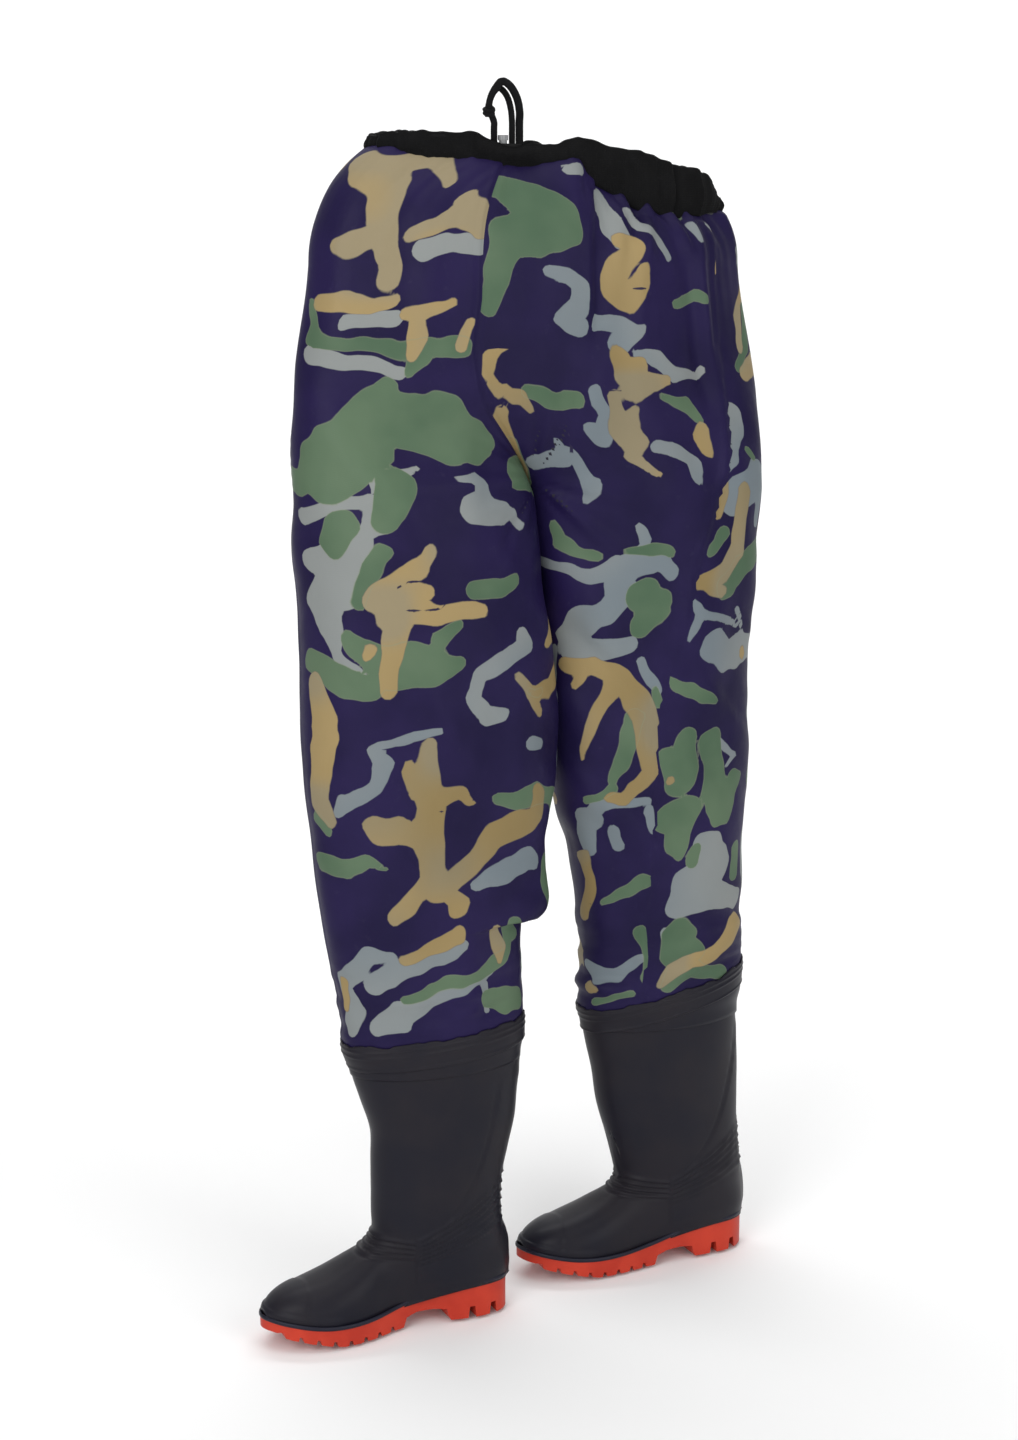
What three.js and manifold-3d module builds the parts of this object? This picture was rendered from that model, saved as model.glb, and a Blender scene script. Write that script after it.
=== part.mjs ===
// Waist-high waders: coated camouflage trousers welded to moulded boots,
// hanging from the drawcord loop. Millimetres, +Z up, trouser front towards -Y,
// the wearer's left towards +X. Heights are written from the soles and the whole
// group is shifted so that the origin is under the apex of the hanging loop.
import * as THREE from "three";
import { mergeVertices } from "three/addons/utils/BufferGeometryUtils.js";
import Module from "manifold-3d";

// ---------------------------------------------------------------- dimensions
const LOOP_POINT = [-37, -66.6, 1330];   // hanging point, above the soles
const TAPE_GAP = 2.6;                  // clearance of the faceted tapes inside the fabric
const FABRIC = 3.0;                    // wall of the coated fabric, with its backing
const SEAM_GAP = 0.0026;               // half gap between panels, radians
const SEAT_BOTTOM = 880;               // lower edge of the seat, at the crotch
const HIP_PIVOT_Z = 805;
const THIGH_TOP = 732;
const KNEE_TOP = 546;
const KNEE_PIVOT_Z = 475;
const KNEE_BOTTOM = 405;
const SHIN_BOTTOM = 308.6;             // lower edge of the fabric
const BOOT_TOP = 308;
const PVC = 4.0;                       // wall of the moulded boot
const BOOT_LENGTH = 286;
const COLLAR_HEIGHT = 25;
const CORD_D = 6.5;                    // drawcord diameter
const CORD_X = [-45.5, -25.4, -17.1];  // the strands where they leave the band: one on the right, two on the left
const CORD_Y = -67.6;
const DIP = 1259.5;                    // band top where the lock sits
const LOCK_Z = [1261.4, 1271.4];       // cord lock body, resting on the eyelets
const LOCK_X = 20.5, LOCK_Y = 6;       // half sizes of the cord lock
const BAND_WALL = 1.5, BAND_THICK = 13;

// sections of the trousers: height above soles, centre x, centre y, half width, half depth
const PELVIS = [
  [880, 21, -10, 273, 90], [942, 22, -10, 272, 92], [1006, 23, -10, 268, 93],
  [1070, 21, -10, 259, 94], [1133, 20, -10, 249, 94], [1164, 20, -10, 246, 91], [1200, 17, -10, 240, 84]];
const RIGHT_LEG = [
  [308, -108, -42, 102, 52], [359, -110, -39, 106, 54], [394, -113, -37, 109, 56], [444, -115, -35, 117, 58],
  [471, -112, -34, 124, 60], [500, -112, -32, 128, 62], [560, -109, -29, 136, 66], [592, -107, -28, 141, 69],
  [669, -108, -24, 143, 74], [755, -110, -20, 139, 80], [841, -114, -15, 134, 84], [880, -116, -12, 130, 86]];
const LEFT_LEG = [
  [308, 192, 5, 100, 52], [344, 193, 4, 102, 54], [380, 194, 4, 101, 55], [417, 191, 3, 101, 57],
  [453, 190, 2, 104, 58], [489, 186, 2, 107, 61], [525, 182, 1, 111, 64], [560, 179, 0, 115, 66],
  [669, 166, -3, 117, 74], [755, 163, -6, 120, 80], [841, 160, -9, 128, 84], [880, 158, -10, 131, 86]];
// waistband edges against x
const BAND_CENTRE = [42, -10], BAND_A = 208, BAND_B = 66;
const BAND_TOP = [[-166, 1284], [-100, 1287], [-74, 1284], [-60, DIP], [-6, DIP], [10, 1271], [45, 1276], [60, 1274], [110, 1258], [170, 1240], [225, 1225], [250, 1219]];
const BAND_TOP_BACK = [[-166, 1284], [-100, 1287], [-80, 1284], [-54, 1277], [-20, 1277], [10, 1273], [45, 1276], [60, 1274], [110, 1258], [170, 1240], [225, 1225], [250, 1219]];
const BAND_LOW = [[-166, 1262], [-120, 1256], [-60, 1250], [-20, 1246], [40, 1249], [60, 1240], [110, 1222], [170, 1207], [225, 1201], [250, 1198]];

// boots: heel x, centre line y, side (+1: inner side of the foot towards -Y), shaft sections
const BOOTS = {
  right: { heel: -28, y: -43, medial: -1, shaft: [
    [40, -100, -43, 74, 38], [83, -104, -43, 73, 42], [118, -108, -43, 75, 44], [153, -107, -43, 76, 46], [187, -103, -43, 80, 47],
    [221, -99, -43, 84, 49], [256, -103, -42, 91, 50], [283, -106, -42, 97, 51], [308, -108, -42, 101, 52]] },
  left: { heel: 302, y: 5, medial: 1, shaft: [
    [40, 228, 5, 74, 38], [84, 224, 5, 77, 42], [120, 217, 5, 80, 44], [158, 210, 5, 84, 46], [196, 204, 5, 89, 48],
    [233, 201, 5, 92, 49], [271, 196, 5, 96, 51], [308, 192, 5, 99, 52]] },
};
// sole outline: distance from the heel, offset towards the inner side of the foot
const FOOTPRINT = [
  [0, 0], [4, 18], [15, 30], [35, 36], [60, 36], [90, 30], [115, 27], [140, 32], [170, 43], [195, 48], [220, 48],
  [245, 42], [265, 32], [278, 21], [286, 8], [284, -6], [275, -20], [258, -33], [235, -42], [205, -47], [175, -46],
  [140, -41], [110, -38], [80, -37], [50, -37], [25, -33], [8, -20]];
const SOLE_TOP = [[-20, 36], [70, 36], [90, 33], [130, 25], [180, 20], [230, 21], [262, 26], [300, 33]];
const SOLE_LOW = [[-20, 14], [80, 14], [130, 12], [150, 7], [225, 7], [255, 11], [300, 20]];
const FOOT_TOP = [[20, 70], [60, 90], [120, 96], [165, 88], [200, 72], [235, 62], [262, 53], [277, 44], [284, 36]];

// ------------------------------------------------------------------- helpers
const lerpTable = (t, x, k = 1) => {
  if (x <= t[0][0]) return t[0][k];
  for (let i = 1; i < t.length; i++) if (x <= t[i][0]) {
    const f = (x - t[i - 1][0]) / (t[i][0] - t[i - 1][0]);
    return t[i - 1][k] + f * (t[i][k] - t[i - 1][k]);
  }
  return t[t.length - 1][k];
};
const section = (t, z) => [1, 2, 3, 4].map((k) => lerpTable(t, z, k));
const ring = (t, z, th, inset = 0) => {
  const [cx, cy, a, b] = section(t, z);
  return [cx + (a - inset) * Math.cos(th), cy + (b - inset) * Math.sin(th), z];
};
const rad = (d) => (d * Math.PI) / 180;

function indexed(points, faces) {
  const g = new THREE.BufferGeometry();
  g.setAttribute("position", new THREE.Float32BufferAttribute(points.flat(), 3));
  g.setIndex(faces.flat());
  return mergeVertices(g, 1e-4);
}
// signed volume of a closed mesh, to keep the faces pointing out
function outward(g) {
  const p = g.attributes.position, ix = g.index.array;
  let v = 0;
  const a = new THREE.Vector3(), b = new THREE.Vector3(), c = new THREE.Vector3();
  for (let i = 0; i < ix.length; i += 3) {
    a.fromBufferAttribute(p, ix[i]); b.fromBufferAttribute(p, ix[i + 1]); c.fromBufferAttribute(p, ix[i + 2]);
    v += a.dot(b.cross(c));
  }
  if (v < 0) for (let i = 0; i < ix.length; i += 3) { const t = ix[i]; ix[i] = ix[i + 1]; ix[i + 1] = t; }
  return g;
}
// closed curved plate between two surfaces f(i,j) and g(i,j)
function plate(outer, inner, nu, nv) {
  const pts = [], faces = [], id = (s, i, j) => s * (nu + 1) * (nv + 1) + j * (nu + 1) + i;
  for (const f of [outer, inner]) for (let j = 0; j <= nv; j++) for (let i = 0; i <= nu; i++) pts.push(f(i / nu, j / nv));
  const quad = (a, b, c, d) => faces.push([a, b, c], [a, c, d]);
  for (let j = 0; j < nv; j++) for (let i = 0; i < nu; i++) {
    quad(id(0, i, j), id(0, i + 1, j), id(0, i + 1, j + 1), id(0, i, j + 1));
    quad(id(1, i, j + 1), id(1, i + 1, j + 1), id(1, i + 1, j), id(1, i, j));
  }
  for (let i = 0; i < nu; i++) {
    quad(id(1, i, 0), id(1, i + 1, 0), id(0, i + 1, 0), id(0, i, 0));
    quad(id(0, i, nv), id(0, i + 1, nv), id(1, i + 1, nv), id(1, i, nv));
  }
  for (let j = 0; j < nv; j++) {
    quad(id(0, 0, j), id(0, 0, j + 1), id(1, 0, j + 1), id(1, 0, j));
    quad(id(1, nu, j), id(1, nu, j + 1), id(0, nu, j + 1), id(0, nu, j));
  }
  return outward(indexed(pts, faces));
}
// closed tube wall: profile points swept once round; profile(i) gives functions of the angle
function sweepRing(profile, nu) {
  const np = profile(0).length, pts = [], faces = [];
  for (let i = 0; i < nu; i++) pts.push(...profile((i / nu) * 2 * Math.PI));
  for (let i = 0; i < nu; i++) for (let k = 0; k < np; k++) {
    const a = i * np + k, b = i * np + ((k + 1) % np), i2 = (i + 1) % nu, c = i2 * np + ((k + 1) % np), d = i2 * np + k;
    faces.push([a, b, c], [a, c, d]);
  }
  return outward(indexed(pts, faces));
}
// solid lofted through closed loops of equal length, ends capped with fans
function loft(loops) {
  const n = loops[0].length, pts = loops.flat(), faces = [];
  for (let j = 0; j < loops.length - 1; j++) for (let i = 0; i < n; i++) {
    const a = j * n + i, b = j * n + ((i + 1) % n), c = b + n, d = a + n;
    faces.push([a, b, c], [a, c, d]);
  }
  for (const [j, flip] of [[0, 1], [loops.length - 1, 0]]) {
    const m = [0, 1, 2].map((k) => loops[j].reduce((s, p) => s + p[k], 0) / n), q = pts.push(m) - 1;
    for (let i = 0; i < n; i++) {
      const a = j * n + i, b = j * n + ((i + 1) % n);
      faces.push(flip ? [a, q, b] : [a, b, q]);
    }
  }
  return outward(indexed(pts, faces));
}
const offsetLoop = (pts, d) => {
  const n = pts.length;
  let area = 0;
  for (let i = 0; i < n; i++) { const p = pts[i], q = pts[(i + 1) % n]; area += p[0] * q[1] - q[0] * p[1]; }
  const s = area > 0 ? 1 : -1;
  return pts.map((p, i) => {
    const a = pts[(i + n - 1) % n], b = pts[(i + 1) % n];
    const tx = b[0] - a[0], ty = b[1] - a[1], l = Math.hypot(tx, ty);
    return [p[0] + (s * d * ty) / l, p[1] - (s * d * tx) / l];
  });
};
function prism(outline, z0, z1) {
  const shape = new THREE.Shape(outline.map(([x, y]) => new THREE.Vector2(x, y)));
  const g = new THREE.ExtrudeGeometry(shape, { depth: z1 - z0, bevelEnabled: false, steps: 1 });
  g.translate(0, 0, z0);
  return g;
}
const wasm = await Module();
wasm.setup();
function solid(geometry) {
  let g = geometry.clone();
  g.deleteAttribute("normal"); g.deleteAttribute("uv");
  g = outward(mergeVertices(g, 1e-4));
  return new wasm.Manifold(new wasm.Mesh({ numProp: 3, vertProperties: new Float32Array(g.attributes.position.array), triVerts: new Uint32Array(g.index.array) }));
}
function geometryOf(m) {
  const mesh = m.getMesh(), g = new THREE.BufferGeometry();
  g.setAttribute("position", new THREE.Float32BufferAttribute(Array.from(mesh.vertProperties), 3));
  g.setIndex(Array.from(mesh.triVerts));
  return g;
}

const MATERIALS = {
  camo: new THREE.MeshStandardMaterial({ color: 0x4b5f58, roughness: 0.5, metalness: 0 }),
  tape: new THREE.MeshStandardMaterial({ color: 0x2c2b45, roughness: 0.6, metalness: 0 }),
  band: new THREE.MeshStandardMaterial({ color: 0x0b0b0c, roughness: 0.85, metalness: 0 }),
  elastic: new THREE.MeshStandardMaterial({ color: 0x1b1b1d, roughness: 0.9, metalness: 0 }),
  cord: new THREE.MeshStandardMaterial({ color: 0x0d0d0f, roughness: 0.8, metalness: 0 }),
  metal: new THREE.MeshStandardMaterial({ color: 0x55585c, roughness: 0.35, metalness: 1 }),
  lock: new THREE.MeshStandardMaterial({ color: 0x141416, roughness: 0.5, metalness: 0 }),
  button: new THREE.MeshStandardMaterial({ color: 0x777b80, roughness: 0.45, metalness: 0 }),
  upper: new THREE.MeshStandardMaterial({ color: 0x35343c, roughness: 0.4, metalness: 0 }),
  welt: new THREE.MeshStandardMaterial({ color: 0x1c1d2c, roughness: 0.4, metalness: 0 }),
  sole: new THREE.MeshStandardMaterial({ color: 0xd8442a, roughness: 0.5, metalness: 0 }),
  lining: new THREE.MeshStandardMaterial({ color: 0x8d8f92, roughness: 0.95, metalness: 0 }),
};
const waders = new THREE.Group();
waders.position.set(-LOOP_POINT[0], -LOOP_POINT[1], -LOOP_POINT[2]);
function add(name, geometry, material) {
  const mesh = new THREE.Mesh(geometry, MATERIALS[material].clone());
  mesh.name = name;
  waders.add(mesh);
  return mesh;
}

// ------------------------------------------------------------- trouser seat
// angle of the front rise seam, which leans to the wearer's right
const FRONT_SEAM = [[880, -101], [941, -105], [994, -110], [1065, -113], [1115, -112], [1280, -112]];
const frontSeam = (z) => rad(lerpTable(FRONT_SEAM, z));
const BACK_SEAM = rad(90), RIGHT_SIDE = rad(-180), LEFT_SIDE = rad(-6);
const bandPoint = (th, inset) => [BAND_CENTRE[0] + (BAND_A - inset) * Math.cos(th), BAND_CENTRE[1] + (BAND_B - inset) * Math.sin(th)];
const SHOULDER = 1150;
// a point of the seat: v 0 at the crotch level, 1 under the waistband
function seatPoint(th, v, inset) {
  const knee = 0.62;
  if (v <= knee) return ring(PELVIS, SEAT_BOTTOM + (v / knee) * (SHOULDER - SEAT_BOTTOM), th, inset);
  const f = (v - knee) / (1 - knee), low = ring(PELVIS, SHOULDER, th, inset), [tx, ty] = bandPoint(th, inset + 1);
  const g = Math.pow(f, 2.2), top = lerpTable(BAND_LOW, bandPoint(th, 0)[0]) - 3.6;
  return [low[0] + (tx - low[0]) * g, low[1] + (ty - low[1]) * g, low[2] + (top - low[2]) * f];
}
const seatHeight = (v) => SEAT_BOTTOM + v * 385;
function seatPanel(a, b, nu) {
  const at = (u, v, inset) => {
    const t0 = typeof a === "function" ? a(seatHeight(v)) : a, t1 = typeof b === "function" ? b(seatHeight(v)) : b;
    return seatPoint(t0 + SEAM_GAP + u * (t1 - t0 - 2 * SEAM_GAP), v, inset);
  };
  return plate((u, v) => at(u, v, 0), (u, v) => at(u, v, FABRIC), nu, 8);
}
add("right_front_seat_panel", seatPanel(RIGHT_SIDE, frontSeam, 8), "camo");
add("left_front_seat_panel", seatPanel(frontSeam, LEFT_SIDE, 10), "camo");
add("left_back_seat_panel", seatPanel(LEFT_SIDE, BACK_SEAM, 9), "camo");
add("right_back_seat_panel", seatPanel(BACK_SEAM, rad(180), 9), "camo");

// seam tapes welded inside the seat, along the rises and the hips
function seatTape(centre, half) {
  const at = (u, v, inset) => {
    const c = typeof centre === "function" ? centre(seatHeight(v)) : centre;
    return seatPoint(c + half * (2 * u - 1), 0.02 + 0.96 * v, inset);
  };
  return plate((u, v) => at(u, v, FABRIC + TAPE_GAP), (u, v) => at(u, v, FABRIC + TAPE_GAP + 1), 2, 8);
}
add("front_rise_seam_tape", seatTape(frontSeam, 0.045), "tape");
add("back_rise_seam_tape", seatTape(BACK_SEAM, 0.04), "tape");
add("right_hip_seam_tape", seatTape(rad(180), 0.11), "tape");
add("left_hip_seam_tape", seatTape(LEFT_SIDE, 0.11), "tape");

// patch across the fork, between the two leg openings
{
  const g = new THREE.BoxGeometry(13, 158, 2.4, 1, 4, 1);
  g.translate(20.5, -10, SEAT_BOTTOM + 3);
  g.deleteAttribute("normal"); g.deleteAttribute("uv");
  add("crotch_gusset", mergeVertices(g, 1e-4), "camo");
}

// -------------------------------------------------------------------- legs
function sleeve(table, z0, z1, nu, nv) {
  return sweepRing((th) => {
    const p = [];
    for (let j = 0; j <= nv; j++) p.push(ring(table, z0 + ((z1 - z0) * j) / nv, th, 0));
    for (let j = nv; j >= 0; j--) p.push(ring(table, z0 + ((z1 - z0) * j) / nv, th, FABRIC));
    return p;
  }, nu);
}
function legPanel(table, z0, z1, t0, t1, nv, nu = 10) {
  const at = (u, v, inset) => ring(table, z0 + v * (z1 - z0), t0 + SEAM_GAP + u * (t1 - t0 - 2 * SEAM_GAP), inset);
  return plate((u, v) => at(u, v, 0), (u, v) => at(u, v, FABRIC), nu, nv);
}
function legTape(table, z0, z1, centre, half, nv) {
  const at = (u, v, inset) => ring(table, z0 + v * (z1 - z0), centre + half * (2 * u - 1), inset);
  return plate((u, v) => at(u, v, FABRIC + TAPE_GAP), (u, v) => at(u, v, FABRIC + TAPE_GAP + 1), 2, nv);
}
for (const [side, table, outseam, inseam] of [["right", RIGHT_LEG, 180, 0], ["left", LEFT_LEG, -20, 170]]) {
  const o = rad(outseam), n = rad(inseam), turn = 2 * Math.PI;
  // the front panel spans the half towards -Y
  const front = side === "right" ? [rad(-180), rad(0)] : [rad(-190), rad(-20)];
  const back = side === "right" ? [rad(0), rad(180)] : [rad(-20), rad(170)];
  add(`${side}_hip_fold`, sleeve(table, THIGH_TOP + 0.4, SEAT_BOTTOM - 0.5, 24, 2), "camo");
  add(`${side}_front_thigh_panel`, legPanel(table, KNEE_TOP + 0.4, THIGH_TOP, front[0], front[1], 4), "camo");
  add(`${side}_back_thigh_panel`, legPanel(table, KNEE_TOP + 0.4, THIGH_TOP, back[0], back[1], 4), "camo");
  add(`${side}_outer_seam_tape`, legTape(table, KNEE_TOP + 4, THIGH_TOP - 4, o, 0.13, 4), "tape");
  add(`${side}_inner_seam_tape`, legTape(table, KNEE_TOP + 4, THIGH_TOP - 4, n, 0.13, 4), "tape");
  add(`${side}_knee_fold`, sleeve(table, KNEE_BOTTOM + 0.4, KNEE_TOP, 24, 2), "camo");
  add(`${side}_front_shin_panel`, legPanel(table, SHIN_BOTTOM, KNEE_BOTTOM, front[0], front[1], 2), "camo");
  add(`${side}_back_shin_panel`, legPanel(table, SHIN_BOTTOM, KNEE_BOTTOM, back[0], back[1], 2), "camo");
}

// --------------------------------------------------------------- waistband
const bandTopAt = (x, th) => lerpTable(Math.sin(th) < 0 ? BAND_TOP : BAND_TOP_BACK, x);
// folded sleeve, open along its lower inside edge, with the cord above the elastic
{
  const N = 52, W = BAND_WALL, T = BAND_THICK;
  const sleeveGeometry = sweepRing((th) => {
    const x = bandPoint(th, 0)[0], top = bandTopAt(x, th), low = lerpTable(BAND_LOW, x);
    const q = (inset, z) => [...bandPoint(th, inset), z];
    return [q(0, low), q(0, top - 2), q(2, top), q(T - 2, top), q(T, top - 2), q(T, low + 5), q(T - W, low + 5), q(T - W, top - W - 1),
      q(W, top - W - 1), q(W, low)];
  }, N);
  let body = solid(sleeveGeometry);
  for (const x of CORD_X) {
    const drill = new THREE.CylinderGeometry(3.7, 3.7, 30, 12);
    drill.rotateX(Math.PI / 2); drill.translate(x, CORD_Y + 3.0, 1269);
    body = body.subtract(solid(drill));
  }
  add("waistband_sleeve", geometryOf(body), "band");
  add("waist_elastic", sweepRing((th) => {
    const x = bandPoint(th, 0)[0], low = lerpTable(BAND_LOW, x);
    const q = (inset, z) => [...bandPoint(th, inset), z];
    return [q(5.4, low + 1), q(5.4, low + 6.5), q(7.4, low + 6.5), q(7.4, low + 1)];
  }, N), "elastic");
}
// drawcord: the run through the channel, then the free hanging loop
const CHANNEL_Y = CORD_Y + 3.0;
{
  // angle where the band's middle line passes the given x on the front
  const mid = BAND_THICK / 2, angleAt = (x) => -Math.acos((x - BAND_CENTRE[0]) / (BAND_A - mid));
  const t0 = angleAt(15), t1 = angleAt(-83) + 2 * Math.PI, pts = [];
  const M = 44;
  for (let i = 0; i <= M; i++) {
    const th = t0 + ((t1 - t0) * i) / M, [x, y] = bandPoint(th, mid);
    pts.push(new THREE.Vector3(x, y, bandTopAt(x, th) - 8.8));
  }
  const curve = new THREE.CatmullRomCurve3(pts, false, "centripetal");
  const shape = new THREE.Shape();
  for (let k = 0; k < 8; k++) { const a = (k / 8) * 2 * Math.PI, r = CORD_D / 2; k ? shape.lineTo(r * Math.cos(a), r * Math.sin(a)) : shape.moveTo(r, 0); }
  add("drawcord_channel_run", new THREE.ExtrudeGeometry(shape, { steps: 52, extrudePath: curve, bevelEnabled: false }), "cord");
}
const Y0 = CHANNEL_Y;
const LOOP_PATH = [
  [CORD_X[0], Y0, 1256.2], [CORD_X[0], Y0, 1274], [CORD_X[0], Y0, 1286], [CORD_X[0], Y0, 1293], [-48.6, Y0 - 0.5, 1300], [-51.5, Y0 - 1, 1308], [-49.5, Y0 - 1.5, 1318],
  [-44, Y0 - 2, 1327], [LOOP_POINT[0], Y0 - 2, 1333.2], [-28, Y0 - 2, 1328.5], [-20.5, Y0 - 1.5, 1317], [-17.3, Y0 - 1, 1304],
  [CORD_X[2], Y0, 1293], [CORD_X[2], Y0, 1286], [CORD_X[2], Y0, 1274], [CORD_X[2], Y0, 1256.2]];
// second strand: up beside the left leg, over behind the loop and down behind the right leg, where it is tied
const SECOND_PATH = [
  [CORD_X[1], Y0, 1256.2], [CORD_X[1], Y0, 1274], [CORD_X[1], Y0, 1286], [CORD_X[1], Y0, 1293], [-26.2, Y0 + 1.6, 1304], [-29.6, Y0 + 5, 1316], [-36, Y0 + 6.6, 1322.5],
  [-43.5, Y0 + 6.9, 1316.5], [-48.6, Y0 + 7.3, 1306], [-48.6, Y0 + 7.6, 1298]];
for (const [name, path, steps] of [["drawcord_loop", LOOP_PATH, 40], ["drawcord_second_strand", SECOND_PATH, 26]]) {
  const curve = new THREE.CatmullRomCurve3(path.map((p) => new THREE.Vector3(...p)), false, "centripetal");
  const shape = new THREE.Shape();
  for (let k = 0; k < 8; k++) { const a = ((k + 0.5) / 8) * 2 * Math.PI, r = CORD_D / 2; k ? shape.lineTo(r * Math.cos(a), r * Math.sin(a)) : shape.moveTo(r * Math.cos(a), r * Math.sin(a)); }
  add(name, new THREE.ExtrudeGeometry(shape, { steps, extrudePath: curve, bevelEnabled: false }), "cord");
}
// eyelets in the top fold: a round one for the single strand, an oblong one for the pair
const stadium = (x0, x1, r, n = 8) => {
  const s = new THREE.Shape(), c = [];
  for (let k = 0; k <= n; k++) { const a = -Math.PI / 2 + (Math.PI * k) / n; c.push([x1 + r * Math.cos(a), r * Math.sin(a)]); }
  for (let k = 0; k <= n; k++) { const a = Math.PI / 2 + (Math.PI * k) / n; c.push([x0 + r * Math.cos(a), r * Math.sin(a)]); }
  c.forEach(([x, y], i) => (i ? s.lineTo(x, y) : s.moveTo(x, y)));
  return s;
};
const upright = (shape, z0, z1) => {
  const g = new THREE.ExtrudeGeometry(shape, { depth: z1 - z0, bevelEnabled: false, curveSegments: 4 });
  g.translate(0, Y0, z0);
  return solid(g);
};
for (const [name, x0, x1] of [["right_cord_eyelet", CORD_X[0], CORD_X[0] + 0.01], ["left_cord_eyelet", CORD_X[1], CORD_X[2]]])
  add(name, geometryOf(upright(stadium(x0, x1, 5.6), DIP + 0.3, DIP + 1.4).subtract(upright(stadium(x0, x1, 3.65), DIP, DIP + 2))), "metal");
// cord lock: body round the strands, knurled button standing between them, spring underneath
{
  const cx = (CORD_X[0] + CORD_X[1]) / 2, mx = (CORD_X[0] + CORD_X[2]) / 2, [z0, z1] = LOCK_Z;
  let casing = upright(stadium(mx - LOCK_X + LOCK_Y, mx + LOCK_X - LOCK_Y, LOCK_Y, 10), z0, z1);
  casing = casing.subtract(upright(stadium(CORD_X[0], CORD_X[0] + 0.01, 4.0), z0 - 1, z1 + 1));
  casing = casing.subtract(upright(stadium(CORD_X[1], CORD_X[2], 4.0), z0 - 1, z1 + 1));
  const well = new THREE.CylinderGeometry(4.5, 4.5, 12, 16); well.rotateX(Math.PI / 2); well.translate(cx, Y0, z0 + 1.4 + 6);
  casing = casing.subtract(solid(well));
  add("cord_lock_casing", geometryOf(casing), "lock");
  // button: knurled head on a stem
  const head = [];
  for (let k = 0; k < 28; k++) { const a = (k / 28) * 2 * Math.PI, r = k % 2 ? 5.4 : 4.9; head.push([cx + r * Math.cos(a), r * Math.sin(a)]); }
  const headShape = new THREE.Shape(head.map(([x, y]) => new THREE.Vector2(x, y)));
  const stem = new THREE.CylinderGeometry(4.1, 4.1, 9, 16); stem.rotateX(Math.PI / 2); stem.translate(cx, Y0, z1 + 3.4 + 0.2 - 4.5);
  add("cord_lock_plunger", geometryOf(upright(headShape, z1 + 3.4, z1 + 8.6).add(solid(stem))), "button");
  const turns = 2.2, pts = [], low = z0 + 1.4 + 0.5, high = z1 + 3.6 - 9 - 0.5;
  for (let i = 0; i <= 36; i++) { const a = (i / 36) * turns * 2 * Math.PI; pts.push(new THREE.Vector3(cx + 3.2 * Math.cos(a), Y0 + 3.2 * Math.sin(a), low + ((high - low) * i) / 36)); }
  const s = new THREE.Shape(); for (let k = 0; k < 5; k++) { const a = (k / 5) * 2 * Math.PI; k ? s.lineTo(0.3 * Math.cos(a), 0.3 * Math.sin(a)) : s.moveTo(0.3, 0); }
  add("cord_lock_spring", new THREE.ExtrudeGeometry(s, { steps: 26, extrudePath: new THREE.CatmullRomCurve3(pts), bevelEnabled: false }), "metal");
}

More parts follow.
